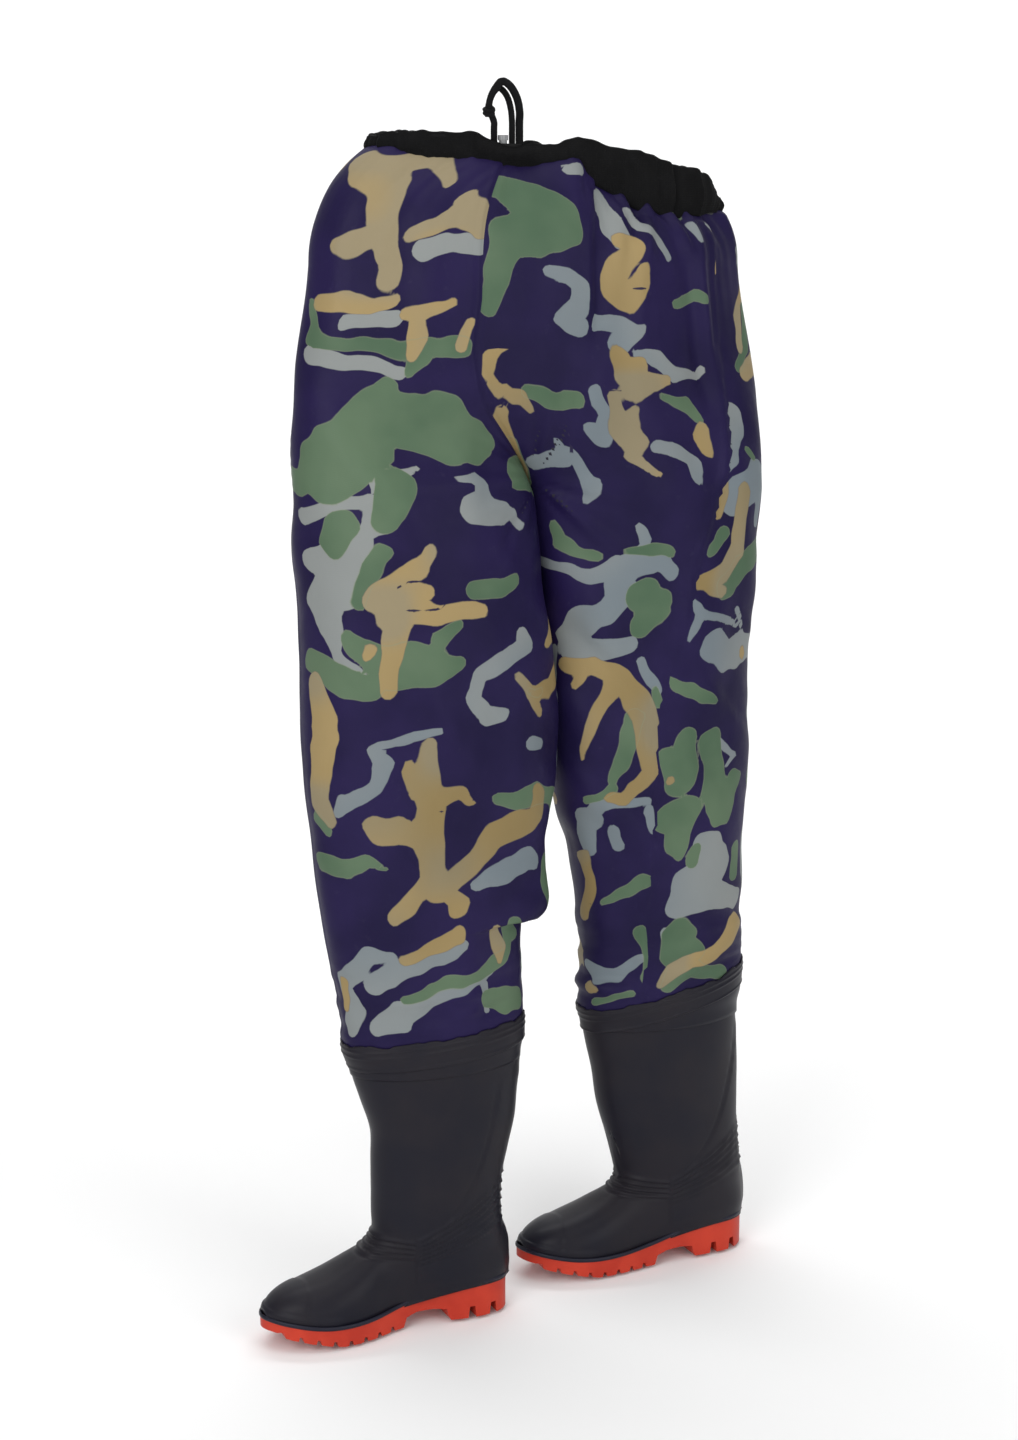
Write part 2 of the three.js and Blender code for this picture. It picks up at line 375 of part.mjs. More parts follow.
// -------------------------------------------------------------------- boots
function boot(side) {
  const B = BOOTS[side], at = (s, off) => [B.heel - s, B.y + B.medial * off];
  const outline = (d) => offsetLoop(FOOTPRINT, d).map(([s, o]) => at(s, o));
  // slab between two side profiles, cut across the foot
  const slab = (upper, lower) => {
    const line = [...upper, ...[...lower].reverse()];
    const shape = new THREE.Shape(line.map(([s, z]) => new THREE.Vector2(B.heel - s, z)));
    const g = new THREE.ExtrudeGeometry(shape, { depth: 160, bevelEnabled: false });
    g.rotateX(Math.PI / 2); g.translate(0, B.y + 80, 0);
    return solid(g);
  };
  const lift = (t, d) => t.map(([s, z]) => [s, z + d]);
  // outsole: heel block of three lugs, raised arch, forefoot lugs
  const tread = [[-20, 0], [20, 0], [22, 13], [29, 13], [31, 0], [46, 0], [48, 13], [55, 13], [57, 0], [76, 0], [80, 14], [112, 14], [128, 11]];
  for (let k = 0; k < 8; k++) {
    const s0 = 134 + k * 18, base = Math.max(0, (s0 + 6 - 214) * 0.19), end = Math.max(0, (s0 + 12 - 214) * 0.19);
    tread.push([s0, base], [s0 + 11.5, end], [s0 + 12.5, end + 6], [s0 + 16.8, end + 6]);
  }
  tread.push([300, 22]);
  const sole = solid(prism(outline(0), -5, 60)).intersect(slab(SOLE_TOP, tread));
  add(`${side}_boot_outsole`, geometryOf(sole), "sole");
  // foxing strip round the joint of sole and upper
  const strip = solid(prism(outline(1.6), -5, 60)).subtract(solid(prism(outline(-2.6), -6, 61))).intersect(slab(lift(SOLE_TOP, 5), lift(SOLE_TOP, 0.4)));
  add(`${side}_boot_welt`, geometryOf(strip), "welt");
  // moulded upper: foot and shaft in one wall
  const footLoops = (inset, low) => {
    const loops = [];
    for (const s of [4, 14, 45, 95, 130, 165, 200, 235, 260, 276, 283.5]) {
      const sc = Math.min(s, 286 - 3 - inset * 0.9), scl = Math.max(sc, 3 + inset);
      // half widths of the footprint at this distance
      const w = (sign) => { let best = 0; const P = FOOTPRINT, n = P.length; for (let i = 0; i < n; i++) { const a = P[i], b = P[(i + 1) % n]; if ((a[0] - scl) * (b[0] - scl) <= 0 && a[0] !== b[0]) { const o = a[1] + ((scl - a[0]) / (b[0] - a[0])) * (b[1] - a[1]); if (o * sign > best * sign || best === 0) best = sign > 0 ? Math.max(best || -99, o) : Math.min(best || 99, o); } } return best; };
      const wm = w(1) - 3 - inset, wl = w(-1) + 3 + inset, mid = (wm + wl) / 2, half = Math.max((wm - wl) / 2, 1.5);
      const z0 = lerpTable(SOLE_TOP, scl) + low, z1 = Math.max(lerpTable(FOOT_TOP, scl) - inset, z0 + 2), loop = [];
      for (let k = 0; k < 14; k++) {
        const a = (k / 14) * 2 * Math.PI, c = Math.cos(a), n = Math.sin(a);
        const e = 0.55, yy = Math.sign(c) * Math.pow(Math.abs(c), e) * half, zz = n >= 0 ? Math.pow(n, 0.8) : -Math.pow(-n, 0.35);
        const zc = z0 + (z1 - z0) * 0.38;
        const [X, Y] = at(scl, mid + yy);
        loop.push([X, Y, zz >= 0 ? zc + zz * (z1 - zc) : zc + zz * (zc - z0)]);
      }
      loops.push(loop);
    }
    return loops;
  };
  const shaftLoops = (inset, z0, z1) => {
    const zs = [...new Set([z0, 83, 130, 190, 256, 308, z1])].filter((z) => z >= z0 && z <= z1);
    return zs.map((z) => { const loop = []; for (let k = 0; k < 22; k++) loop.push(ring(B.shaft, z, (k / 22) * 2 * Math.PI, inset)); return loop; });
  };
  const around = new THREE.BoxGeometry(500, 300, 200); around.translate(B.heel - 143, B.y, 20);
  const margin = solid(around).subtract(solid(prism(outline(-3), -100, 200))).intersect(slab(lift(SOLE_TOP, 5.5), lift(SOLE_TOP, -30)));
  const above = slab([[-60, 400], [340, 400]], [[-60, 36.4], ...lift(SOLE_TOP, 0.4), [340, 33.4]]);
  const outer = solid(loft(footLoops(0, 0.4))).add(solid(loft(shaftLoops(0, 40, BOOT_TOP)))).subtract(margin).intersect(above);
  const floor = solid(prism(outline(-8), 0, 80)).intersect(slab(lift(SOLE_TOP, 14), lift(SOLE_TOP, 5)));
  const cavity = solid(loft(footLoops(PVC, 5))).add(solid(loft(shaftLoops(PVC, 45, BOOT_TOP + 5)))).add(floor);
  add(`${side}_boot_upper`, geometryOf(outer.subtract(cavity)), "upper");
  // ribbed weld band round the top of the shaft
  add(`${side}_boot_collar`, sweepRing((th) => {
    const p = [], z1 = BOOT_TOP - 0.5, z0 = z1 - COLLAR_HEIGHT;
    for (let k = 0; k <= 4; k++) p.push(ring(B.shaft, z0 + ((z1 - z0) * k) / 4, th, k % 2 ? -3.0 : -2.2));
    for (let k = 4; k >= 0; k -= 4) p.push(ring(B.shaft, z0 + ((z1 - z0) * k) / 4, th, -1.0));
    return p;
  }, 22), "upper");
  // knitted lining of the shaft and the loose insole
  add(`${side}_boot_lining`, sweepRing((th) => {
    const p = [], zs = [130, 190, 256, 303];
    for (const z of zs) p.push(ring(B.shaft, z, th, PVC + 0.9));
    for (const z of [...zs].reverse()) p.push(ring(B.shaft, z, th, PVC + 2.3));
    return p;
  }, 22), "lining");
  const insole = solid(prism(outline(-9), 0, 60)).intersect(slab(lift(SOLE_TOP, 9.2), lift(SOLE_TOP, 5.8)));
  add(`${side}_boot_insole`, geometryOf(insole), "lining");
}
boot("right");
boot("left");

export default waders;
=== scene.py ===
import math
import bpy
import bmesh
import numpy as np
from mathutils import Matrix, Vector


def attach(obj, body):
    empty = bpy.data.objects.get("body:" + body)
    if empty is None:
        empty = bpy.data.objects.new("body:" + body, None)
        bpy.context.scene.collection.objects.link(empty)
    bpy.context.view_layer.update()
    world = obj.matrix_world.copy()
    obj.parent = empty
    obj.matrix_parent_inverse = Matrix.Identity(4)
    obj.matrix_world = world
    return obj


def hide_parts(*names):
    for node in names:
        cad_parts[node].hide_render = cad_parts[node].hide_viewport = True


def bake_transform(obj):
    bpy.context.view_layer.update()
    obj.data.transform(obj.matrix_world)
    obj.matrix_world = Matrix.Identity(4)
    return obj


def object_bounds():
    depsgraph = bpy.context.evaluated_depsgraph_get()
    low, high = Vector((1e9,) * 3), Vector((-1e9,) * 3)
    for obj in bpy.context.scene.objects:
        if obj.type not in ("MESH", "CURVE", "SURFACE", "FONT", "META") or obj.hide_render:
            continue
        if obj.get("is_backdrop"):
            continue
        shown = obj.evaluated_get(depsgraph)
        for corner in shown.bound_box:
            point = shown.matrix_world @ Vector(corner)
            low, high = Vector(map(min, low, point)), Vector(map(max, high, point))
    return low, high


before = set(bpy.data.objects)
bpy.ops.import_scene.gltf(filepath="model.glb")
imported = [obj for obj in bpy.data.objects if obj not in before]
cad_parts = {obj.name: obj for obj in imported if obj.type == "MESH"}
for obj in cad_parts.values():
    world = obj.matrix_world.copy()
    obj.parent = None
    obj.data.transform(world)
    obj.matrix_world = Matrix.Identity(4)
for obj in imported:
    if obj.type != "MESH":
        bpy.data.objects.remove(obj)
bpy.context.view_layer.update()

ORIGIN = np.array([-37.0, -66.6, 1330.0])          # the hanging point, in mm above the soles


def M(p):
    """millimetres above the soles -> metres in the row frame"""
    return (np.asarray(p, float) - ORIGIN) / 1000.0


# ------------------------------------------------------------------ camera
AZ, PITCH = math.radians(24.0), math.radians(11.1)
cam_data = bpy.data.cameras.new("camera")
cam = bpy.data.objects.new("camera", cam_data)
bpy.context.scene.collection.objects.link(cam)
cam_data.sensor_width = 36.0
cam_data.lens = 60.9
cam.location = Vector(M([-1071.5, -2406.7, 1172.6]))
aim = Vector((math.sin(AZ) * math.cos(PITCH), math.cos(AZ) * math.cos(PITCH), -math.sin(PITCH)))
cam.rotation_mode = "QUATERNION"
cam.rotation_quaternion = aim.to_track_quat("-Z", "Y")
cam_data.clip_start, cam_data.clip_end = 0.05, 60.0
bpy.context.scene.camera = cam

# ----------------------------------------------------------------- helpers
rng = np.random.RandomState(7)
_tab = np.random.RandomState(11).rand(64, 64, 64) * 2 - 1


def noise3(p, scale, seed=0):
    """smooth value noise in -1..1 at points p (n, 3), feature size scale in mm (one or three numbers)"""
    q = np.asarray(p, float) / np.asarray(scale, float) + seed * 17.31
    i = np.floor(q).astype(int)
    f = q - i
    f = f * f * f * (f * (f * 6 - 15) + 10)
    out = 0
    for dx in (0, 1):
        for dy in (0, 1):
            for dz in (0, 1):
                w = (f[..., 0] if dx else 1 - f[..., 0]) * (f[..., 1] if dy else 1 - f[..., 1]) * (f[..., 2] if dz else 1 - f[..., 2])
                out = out + w * _tab[(i[..., 0] + dx) & 63, (i[..., 1] + dy) & 63, (i[..., 2] + dz) & 63]
    return out * 1.5


def noise1(x, scale, seed=0):
    x = np.asarray(x, float)
    return noise3(np.stack([x, np.full_like(x, 3.7 * scale), np.full_like(x, 9.1 * scale)], -1), scale, seed)


def smooth(a, b, x):
    t = np.clip((x - a) / (b - a), 0, 1)
    return t * t * (3 - 2 * t)


def table(t, x, k=1):
    return np.interp(x, [r[0] for r in t], [r[k] for r in t])


def smooth_table(t, x, k=1):
    """the table's values on a curve without kinks"""
    xs = np.array([r[0] for r in t], float)
    ys = np.array([r[k] for r in t], float)
    m = np.gradient(ys, xs)
    x = np.clip(x, xs[0], xs[-1])
    j = np.clip(np.searchsorted(xs, x) - 1, 0, len(xs) - 2)
    h = xs[j + 1] - xs[j]
    u = (x - xs[j]) / h
    return ((2 * u**3 - 3 * u**2 + 1) * ys[j] + (u**3 - 2 * u**2 + u) * h * m[j]
            + (-2 * u**3 + 3 * u**2) * ys[j + 1] + (u**3 - u**2) * h * m[j + 1])


def grid_normals(P, closed=False):
    """unit normals of a grid of points (rows, cols, 3)"""
    if closed:
        du = np.roll(P, -1, 1) - np.roll(P, 1, 1)
    else:
        du = np.gradient(P, axis=1)
    dv = np.gradient(P, axis=0)
    n = np.cross(du, dv)
    return n / np.maximum(np.linalg.norm(n, axis=-1, keepdims=True), 1e-9)


def make_object(name, verts_mm, faces, materials, face_mats=None, smooth_shade=True):
    me = bpy.data.meshes.new(name)
    me.from_pydata(M(verts_mm).tolist(), [], [list(map(int, f)) for f in faces])
    for m in materials:
        me.materials.append(m)
    if face_mats is not None:
        me.polygons.foreach_set("material_index", np.asarray(face_mats, np.int32))
    me.polygons.foreach_set("use_smooth", [smooth_shade] * len(me.polygons))
    me.update()
    ob = bpy.data.objects.new(name, me)
    bpy.context.scene.collection.objects.link(ob)
    return ob


def grid_faces(rows, cols, closed=False, flip=False, base=0):
    r, c = np.meshgrid(np.arange(rows - 1), np.arange(cols if closed else cols - 1), indexing="ij")
    c2 = (c + 1) % cols
    f = np.stack([r * cols + c, r * cols + c2, (r + 1) * cols + c2, (r + 1) * cols + c], -1).reshape(-1, 4) + base
    return f[:, ::-1] if flip else f


def apply_modifiers(ob):
    dg = bpy.context.evaluated_depsgraph_get()
    bpy.context.view_layer.update()
    me = bpy.data.meshes.new_from_object(ob.evaluated_get(dg), preserve_all_data_layers=True, depsgraph=dg)
    ob.modifiers.clear()
    old = ob.data
    ob.data = me
    bpy.data.meshes.remove(old)
    return ob


# --------------------------------------------------------------- materials
def material(name):
    m = bpy.data.materials.new(name)
    m.use_nodes = True
    nt = m.node_tree
    nt.nodes.clear()
    out = nt.nodes.new("ShaderNodeOutputMaterial")
    bsdf = nt.nodes.new("ShaderNodeBsdfPrincipled")
    nt.links.new(bsdf.outputs[0], out.inputs[0])
    return m, nt, bsdf


def node(nt, kind, **props):
    n = nt.nodes.new(kind)
    for k, v in props.items():
        setattr(n, k, v)
    return n


def ramp(nt, fac, stops, interpolation="LINEAR"):
    r = node(nt, "ShaderNodeValToRGB")
    r.color_ramp.interpolation = interpolation
    while len(r.color_ramp.elements) < len(stops):
        r.color_ramp.elements.new(0.5)
    for e, (p, c) in zip(r.color_ramp.elements, stops):
        e.position = p
        e.color = (*c, 1) if len(c) == 3 else c
    nt.links.new(fac, r.inputs[0])
    return r.outputs[0]


def mix(nt, fac, a, b, blend="MIX"):
    n = node(nt, "ShaderNodeMix", data_type="RGBA", blend_type=blend)
    for i, v in ((0, fac), (6, a), (7, b)):
        if isinstance(v, (int, float)):
            n.inputs[i].default_value = v
        elif isinstance(v, (tuple, list)):
            n.inputs[i].default_value = (*v, 1) if len(v) == 3 else v
        else:
            nt.links.new(v, n.inputs[i])
    return n.outputs[2]


def math_node(nt, op, a, b=None, c=None):
    n = node(nt, "ShaderNodeMath", operation=op)
    for i, v in enumerate((a, b, c)):
        if v is None:
            continue
        if isinstance(v, (int, float)):
            n.inputs[i].default_value = v
        else:
            nt.links.new(v, n.inputs[i])
    return n.outputs[0]


def noise_tex(nt, scale, detail=3.0, rough=0.5, vector=None, distortion=0.0):
    n = node(nt, "ShaderNodeTexNoise")
    n.inputs["Scale"].default_value = scale
    n.inputs["Detail"].default_value = detail
    n.inputs["Roughness"].default_value = rough
    n.inputs["Distortion"].default_value = distortion
    if vector is not None:
        nt.links.new(vector, n.inputs["Vector"])
    return n


def object_coords(nt, scale=(1, 1, 1)):
    tc = node(nt, "ShaderNodeTexCoord")
    mp = node(nt, "ShaderNodeMapping")
    mp.inputs["Scale"].default_value = scale
    nt.links.new(tc.outputs["Object"], mp.inputs[0])
    return mp.outputs[0]


def bump(nt, bsdf, height, strength, distance, normal=None):
    b = node(nt, "ShaderNodeBump")
    b.inputs["Strength"].default_value = strength
    b.inputs["Distance"].default_value = distance
    nt.links.new(height, b.inputs["Height"])
    if normal is not None:
        nt.links.new(normal, b.inputs["Normal"])
    if bsdf is not None:
        nt.links.new(b.outputs[0], bsdf.inputs["Normal"])
    return b.outputs[0]


INDIGO, GREEN, GREY, TAN = (0.022, 0.018, 0.082), (0.115, 0.205, 0.125), (0.270, 0.330, 0.360), (0.330, 0.240, 0.115)


def camo_material():
    m, nt, b = material("coated_camo_fabric")
    att = node(nt, "ShaderNodeAttribute", attribute_name="print")
    sep = node(nt, "ShaderNodeSeparateColor")
    nt.links.new(att.outputs["Color"], sep.inputs[0])
    v = object_coords(nt)
    mott = noise_tex(nt, 9.0, 3.0, 0.5, v)
    fine = noise_tex(nt, 900.0, 2.0, 0.6, v)
    tone = noise_tex(nt, 3.2, 2.0, 0.5, v)

    def step(d, w=0.55, off=0.0):
        # distance in mm (negative inside) -> 1 inside, 0 outside
        return map_range(nt, math_node(nt, "SUBTRACT", d, off), w, -w, 0.0, 1.0)

    ground = mix(nt, map_range(nt, mott.outputs[0], 0.3, 0.7, 0, 1), (0.0085, 0.0055, 0.034), (0.0150, 0.0095, 0.052))
    grey = mix(nt, map_range(nt, tone.outputs[0], 0.38, 0.62, 0, 1), (0.150, 0.180, 0.200), (0.225, 0.240, 0.235))
    green = mix(nt, map_range(nt, mott.outputs[0], 0.3, 0.7, 0, 1), (0.062, 0.110, 0.066), (0.098, 0.150, 0.092))
    tan = mix(nt, map_range(nt, tone.outputs[0], 0.36, 0.60, 0, 1), (0.230, 0.168, 0.072), (0.310, 0.228, 0.105))
    # the tan fades towards grey along the fade field kept in the second attribute
    fade = node(nt, "ShaderNodeAttribute", attribute_name="fade")
    tan = mix(nt, math_node(nt, "MULTIPLY", fade.outputs["Fac"], 0.4), tan, (0.185, 0.195, 0.170))
    col = mix(nt, step(sep.outputs[0]), ground, grey)
    col = mix(nt, step(sep.outputs[1]), col, green)
    col = mix(nt, step(sep.outputs[2]), col, tan)
    # thin print outlines: pale just outside the blobs, dark squiggles on top
    rim = math_node(nt, "ABSOLUTE", sep.outputs[1])
    col = mix(nt, math_node(nt, "MULTIPLY", map_range(nt, rim, 0.9, 0.3, 0, 1), 0.35), col, (0.20, 0.23, 0.15))
    rim = math_node(nt, "ABSOLUTE", sep.outputs[2])
    col = mix(nt, math_node(nt, "MULTIPLY", map_range(nt, rim, 0.8, 0.3, 0, 1), 0.30), col, (0.10, 0.09, 0.08))
    col = mix(nt, step(att.outputs["Alpha"], 0.4), col, (0.020, 0.016, 0.045))
    # slight scuffing and dust over the print
    scuff = noise_tex(nt, 60.0, 5.0, 0.7, v)
    col = mix(nt, map_range(nt, scuff.outputs[0], 0.62, 0.85, 0.0, 0.06), col, (0.20, 0.20, 0.22))
    nt.links.new(col, b.inputs["Base Color"])
    nt.links.new(map_range(nt, scuff.outputs[0], 0.2, 0.8, 0.40, 0.56), b.inputs["Roughness"])
    b.inputs["Specular IOR Level"].default_value = 0.11
    b.inputs["Sheen Weight"].default_value = 0.0
    # weave of the backing telegraphing through the coating
    wv = node(nt, "ShaderNodeTexWave", wave_type="BANDS", bands_direction="DIAGONAL")
    wv.inputs["Scale"].default_value = 260.0
    wv.inputs["Distortion"].default_value = 0.6
    nt.links.new(v, wv.inputs["Vector"])
    h = math_node(nt, "ADD", math_node(nt, "MULTIPLY", fine.outputs[0], 0.5), math_node(nt, "MULTIPLY", wv.outputs["Fac"], 0.35))
    n1 = bump(nt, None, h, 0.12, 0.0004)
    crease = noise_tex(nt, 26.0, 4.0, 0.55, object_coords(nt, (1, 1, 0.45)), 0.4)
    bump(nt, b, crease.outputs[0], 0.18, 0.004, n1)
    return m


def map_range(nt, v, a, b, c, d):
    n = node(nt, "ShaderNodeMapRange", interpolation_type="SMOOTHSTEP" if (c, d) == (0, 1) else "LINEAR")
    nt.links.new(v, n.inputs[0])
    for i, x in zip((1, 2, 3, 4), (a, b, c, d)):
        n.inputs[i].default_value = x
    return n.outputs[0]


def plain(name, col_a, col_b, rough=(0.4, 0.55), scale=30.0, grain=700.0, grain_strength=0.15, grain_dist=0.0003, coat=0.0, spec=0.5, metallic=0.0,
          stretch=(1, 1, 1), sheen=0.0):
    m, nt, b = material(name)
    v = object_coords(nt, stretch)
    n1, n2 = noise_tex(nt, scale, 4.0, 0.55, v), noise_tex(nt, grain, 3.0, 0.6, object_coords(nt))
    nt.links.new(mix(nt, map_range(nt, n1.outputs[0], 0.3, 0.7, 0, 1), col_a, col_b), b.inputs["Base Color"])
    nt.links.new(map_range(nt, n1.outputs[0], 0.25, 0.75, rough[0], rough[1]), b.inputs["Roughness"])
    b.inputs["Metallic"].default_value = metallic
    b.inputs["Specular IOR Level"].default_value = spec
    b.inputs["Coat Weight"].default_value = coat
    b.inputs["Coat Roughness"].default_value = 0.25
    b.inputs["Sheen Weight"].default_value = sheen
    bump(nt, b, n2.outputs[0], grain_strength, grain_dist)
    return m


def weave_material(name, col_a, col_b, scale=520.0, rough=0.85, sheen=0.3, strength=0.5, dist=0.0006, direction="Z", spec=0.12):
    m, nt, b = material(name)
    v = object_coords(nt)
    w1 = node(nt, "ShaderNodeTexWave", wave_type="BANDS", bands_direction="X")
    w2 = node(nt, "ShaderNodeTexWave", wave_type="BANDS", bands_direction=direction)
    for w in (w1, w2):
        w.inputs["Scale"].default_value = scale / 6.28
        w.inputs["Distortion"].default_value = 0.8
        nt.links.new(v, w.inputs["Vector"])
    n = noise_tex(nt, 45.0, 4.0, 0.6, v)
    h = math_node(nt, "MULTIPLY", w1.outputs["Fac"], w2.outputs["Fac"])
    h = math_node(nt, "ADD", h, math_node(nt, "MULTIPLY", noise_tex(nt, 1200.0, 2.0, 0.6, v).outputs[0], 0.6))
    nt.links.new(mix(nt, map_range(nt, n.outputs[0], 0.3, 0.7, 0, 1), col_a, col_b), b.inputs["Base Color"])
    nt.links.new(map_range(nt, n.outputs[0], 0.2, 0.8, rough - 0.08, min(rough + 0.08, 1.0)), b.inputs["Roughness"])
    b.inputs["Sheen Weight"].default_value = sheen
    b.inputs["Sheen Roughness"].default_value = 0.5
    b.inputs["Specular IOR Level"].default_value = spec
    bump(nt, b, h, strength, dist)
    return m


MAT = {
    "camo": camo_material(),
    "inner": weave_material("inner_backing", (0.016, 0.015, 0.024), (0.024, 0.022, 0.034), scale=900.0, rough=0.9, sheen=0.2, strength=0.3),
    "band": weave_material("waistband_fabric", (0.0030, 0.0030, 0.0033), (0.0056, 0.0056, 0.006), scale=1100.0, rough=0.82, sheen=0.015, spec=0.09),
    "elastic": weave_material("elastic_weave", (0.012, 0.012, 0.013), (0.02, 0.02, 0.021), scale=1500.0, rough=0.9),
    "cord": weave_material("cord_braid", (0.0045, 0.0045, 0.005), (0.009, 0.009, 0.010), scale=2200.0, rough=0.78, sheen=0.015, strength=0.8, spec=0.08),
    "boot": plain("boot_pvc", (0.0085, 0.0085, 0.0150), (0.0140, 0.0122, 0.0165), rough=(0.36, 0.48), scale=11.0, grain=420.0, grain_strength=0.10, coat=0.0, spec=0.16),
    "welt": plain("welt_pvc", (0.006, 0.0065, 0.016), (0.010, 0.010, 0.022), rough=(0.35, 0.5), scale=40.0, spec=0.25),
    "sole": plain("sole_pvc", (0.42, 0.026, 0.011), (0.52, 0.040, 0.017), rough=(0.42, 0.56), scale=22.0, grain=300.0, grain_strength=0.12, spec=0.25),
    "lining": weave_material("lining_knit", (0.22, 0.22, 0.23), (0.30, 0.30, 0.30), scale=1400.0, rough=0.95),
    "tape": plain("seam_tape", (0.020, 0.018, 0.045), (0.03, 0.026, 0.06), rough=(0.5, 0.65), scale=50.0),
    "metal": plain("dark_plated_metal", (0.16, 0.16, 0.17), (0.24, 0.24, 0.25), rough=(0.28, 0.42), scale=120.0, metallic=1.0),
    "lock": plain("lock_plastic", (0.0035, 0.0035, 0.004), (0.006, 0.006, 0.0065), rough=(0.45, 0.6), scale=90.0, spec=0.15),
    "button": plain("button_plastic", (0.16, 0.165, 0.17), (0.25, 0.255, 0.26), rough=(0.4, 0.55), scale=160.0),
}

# ------------------------------------------------------------- trouser shape
PELVIS = [
    [905, 22, -12, 272, 91], [942, 22, -10, 272, 92], [1006, 23, -10, 268, 93],
    [1070, 21, -10, 259, 94], [1133, 20, -10, 249, 94], [1164, 20, -10, 246, 91], [1200, 17, -10, 240, 84]]
RIGHT_LEG = [
    [300, -108, -42, 103, 53], [359, -110, -39, 106, 54], [394, -113, -37, 109, 56], [440, -116, -35, 115, 58],
    [471, -112, -34, 124, 60], [500, -112, -32, 128, 62], [560, -109, -29, 136, 66], [592, -107, -28, 141, 69],
    [669, -108, -24, 143, 74], [755, -110, -20, 139, 80], [841, -114, -15, 134, 84], [905, -116.5, -12, 128.5, 87]]
LEFT_LEG = [
    [300, 192, 5, 101, 53], [344, 193, 4, 102, 54], [380, 194, 4, 101, 55], [417, 191, 3, 101, 57],
    [453, 190, 2, 104, 58], [489, 186, 2, 107, 61], [525, 182, 1, 111, 64], [560, 179, 0, 115, 66],
    [669, 164, -4, 119, 74], [755, 161, -7, 123, 80], [841, 157, -10, 131, 84], [905, 152, -12, 140, 87]]
BAND_C, BAND_A, BAND_B = (42.0, -10.0), 208.0, 66.0
BAND_TOP = [[-166, 1278], [-150, 1284], [-100, 1286], [-80, 1284], [-66, 1282], [-56, 1277], [-46, 1271], [-37, 1265], [-26, 1266], [-14, 1269.5], [10, 1270], [42, 1277],
            [50, 1279], [60, 1276], [80, 1272], [120, 1269.5], [140, 1263], [160, 1256], [200, 1249], [220, 1241], [240, 1224], [250, 1219]]
BAND_LOW = [[-166, 1261], [-150, 1263], [-130, 1260], [-100, 1254], [-60, 1250], [-20, 1247], [0, 1249], [40, 1253], [47, 1251], [53, 1240], [60, 1233], [80, 1225], [100, 1215],
            [120, 1205], [140, 1202], [160, 1196.5], [190, 1197], [220, 1203], [250, 1204]]
FRONT_SEAM = [[880, -101], [941, -105], [994, -110], [1065, -113], [1115, -112], [1280, -112]]
CROTCH, SADDLE, SHOULDER = 905.0, 1035.0, 1150.0
LEFT_SEAM = [[300, .82], [417, .814], [493, .797], [678, .764], [832, .719], [928, .673], [1079, .641], [1260, .62]]   # outer seam, share of the way round
FOLD_PHI = 0.858                                    # pleat on the left front
RIGHT_SEAM_PHI = 0.46


def band_xy(th, inset=0.0):
    return BAND_C[0] + (BAND_A - inset) * np.cos(th), BAND_C[1] + (BAND_B - inset) * np.sin(th)


def leg_base(side, z, phi):
    """undisplaced surface point; z in mm above the soles, above SHOULDER it runs on to the waistband"""
    z, phi = np.broadcast_arrays(np.asarray(z, float), np.asarray(phi, float))
    T = RIGHT_LEG if side == "right" else LEFT_LEG
    th_leg = 2 * np.pi * phi if side == "right" else np.pi - 2 * np.pi * phi
    zl = np.minimum(z, CROTCH)
    c = [smooth_table(T, zl, k) for k in (1, 2, 3, 4)]
    e = 0.92
    cs, sn = np.cos(th_leg), np.sin(th_leg)
    px = c[0] + c[2] * np.sign(cs) * np.abs(cs) ** e
    py = c[1] + c[3] * np.sign(sn) * np.abs(sn) ** e
    zp = np.clip(z, CROTCH, SHOULDER)
    thf = np.radians(table(FRONT_SEAM, z))
    th = np.pi / 2 + phi * ((thf + 2 * np.pi) - np.pi / 2) if side == "right" else np.pi / 2 + phi * (thf - np.pi / 2)
    d = [smooth_table(PELVIS, zp, k) for k in (1, 2, 3, 4)]
    qx = d[0] + d[2] * np.cos(th)
    qy = d[1] + d[3] * np.sin(th)
    w = smooth(CROTCH, SADDLE, z) ** 0.75
    x, y = px + (qx - px) * w, py + (qy - py) * w
    # shoulder up to the waistband
    f = np.clip((z - SHOULDER) / 120.0, 0, None)
    bx, by = band_xy(th, 6.5)
    low = table(BAND_LOW, band_xy(th)[0])
    g = np.clip(f, 0, 1) ** 2.2
    top = low + 5.0
    x, y = x + (bx - x) * g, y + (by - y) * g
    zz = np.where(z > SHOULDER, SHOULDER + (top - SHOULDER) * np.clip(f, 0, 1), z)
    return np.stack([x, y, zz], -1), th


def arc_coordinate(P, j0):
    """signed arc length along each row, from column j0"""
    d = np.linalg.norm(np.diff(P, axis=1), axis=-1)
    s = np.concatenate([np.zeros((P.shape[0], 1)), np.cumsum(d, 1)], 1)
    return s - s[:, j0:j0 + 1]


ROW_TOP = [SHOULDER + 120.0 - 5.0 * i for i in range(24)]
def leg_rows(side):
    z, out = SHOULDER, list(ROW_TOP)
    while z > 303.0:
        out.append(z)
        if z > 896:
            z -= 5.0
        else:
            z -= 2.2 if (side == "right" and 436 < z < 470) else (3.4 if z < 430 else 5.0)
    return np.array(out + [302.0])


COLS = 148


def hem(side, x):
    """height of the boot's welded edge over the cloth"""
    if side == "right":
        return 326.0 + 13.0 * np.clip((x + 208) / 200.0, 0, 1)
    return 313.0 + 40.0 * np.clip((x - 94) / 196.0, 0, 1)


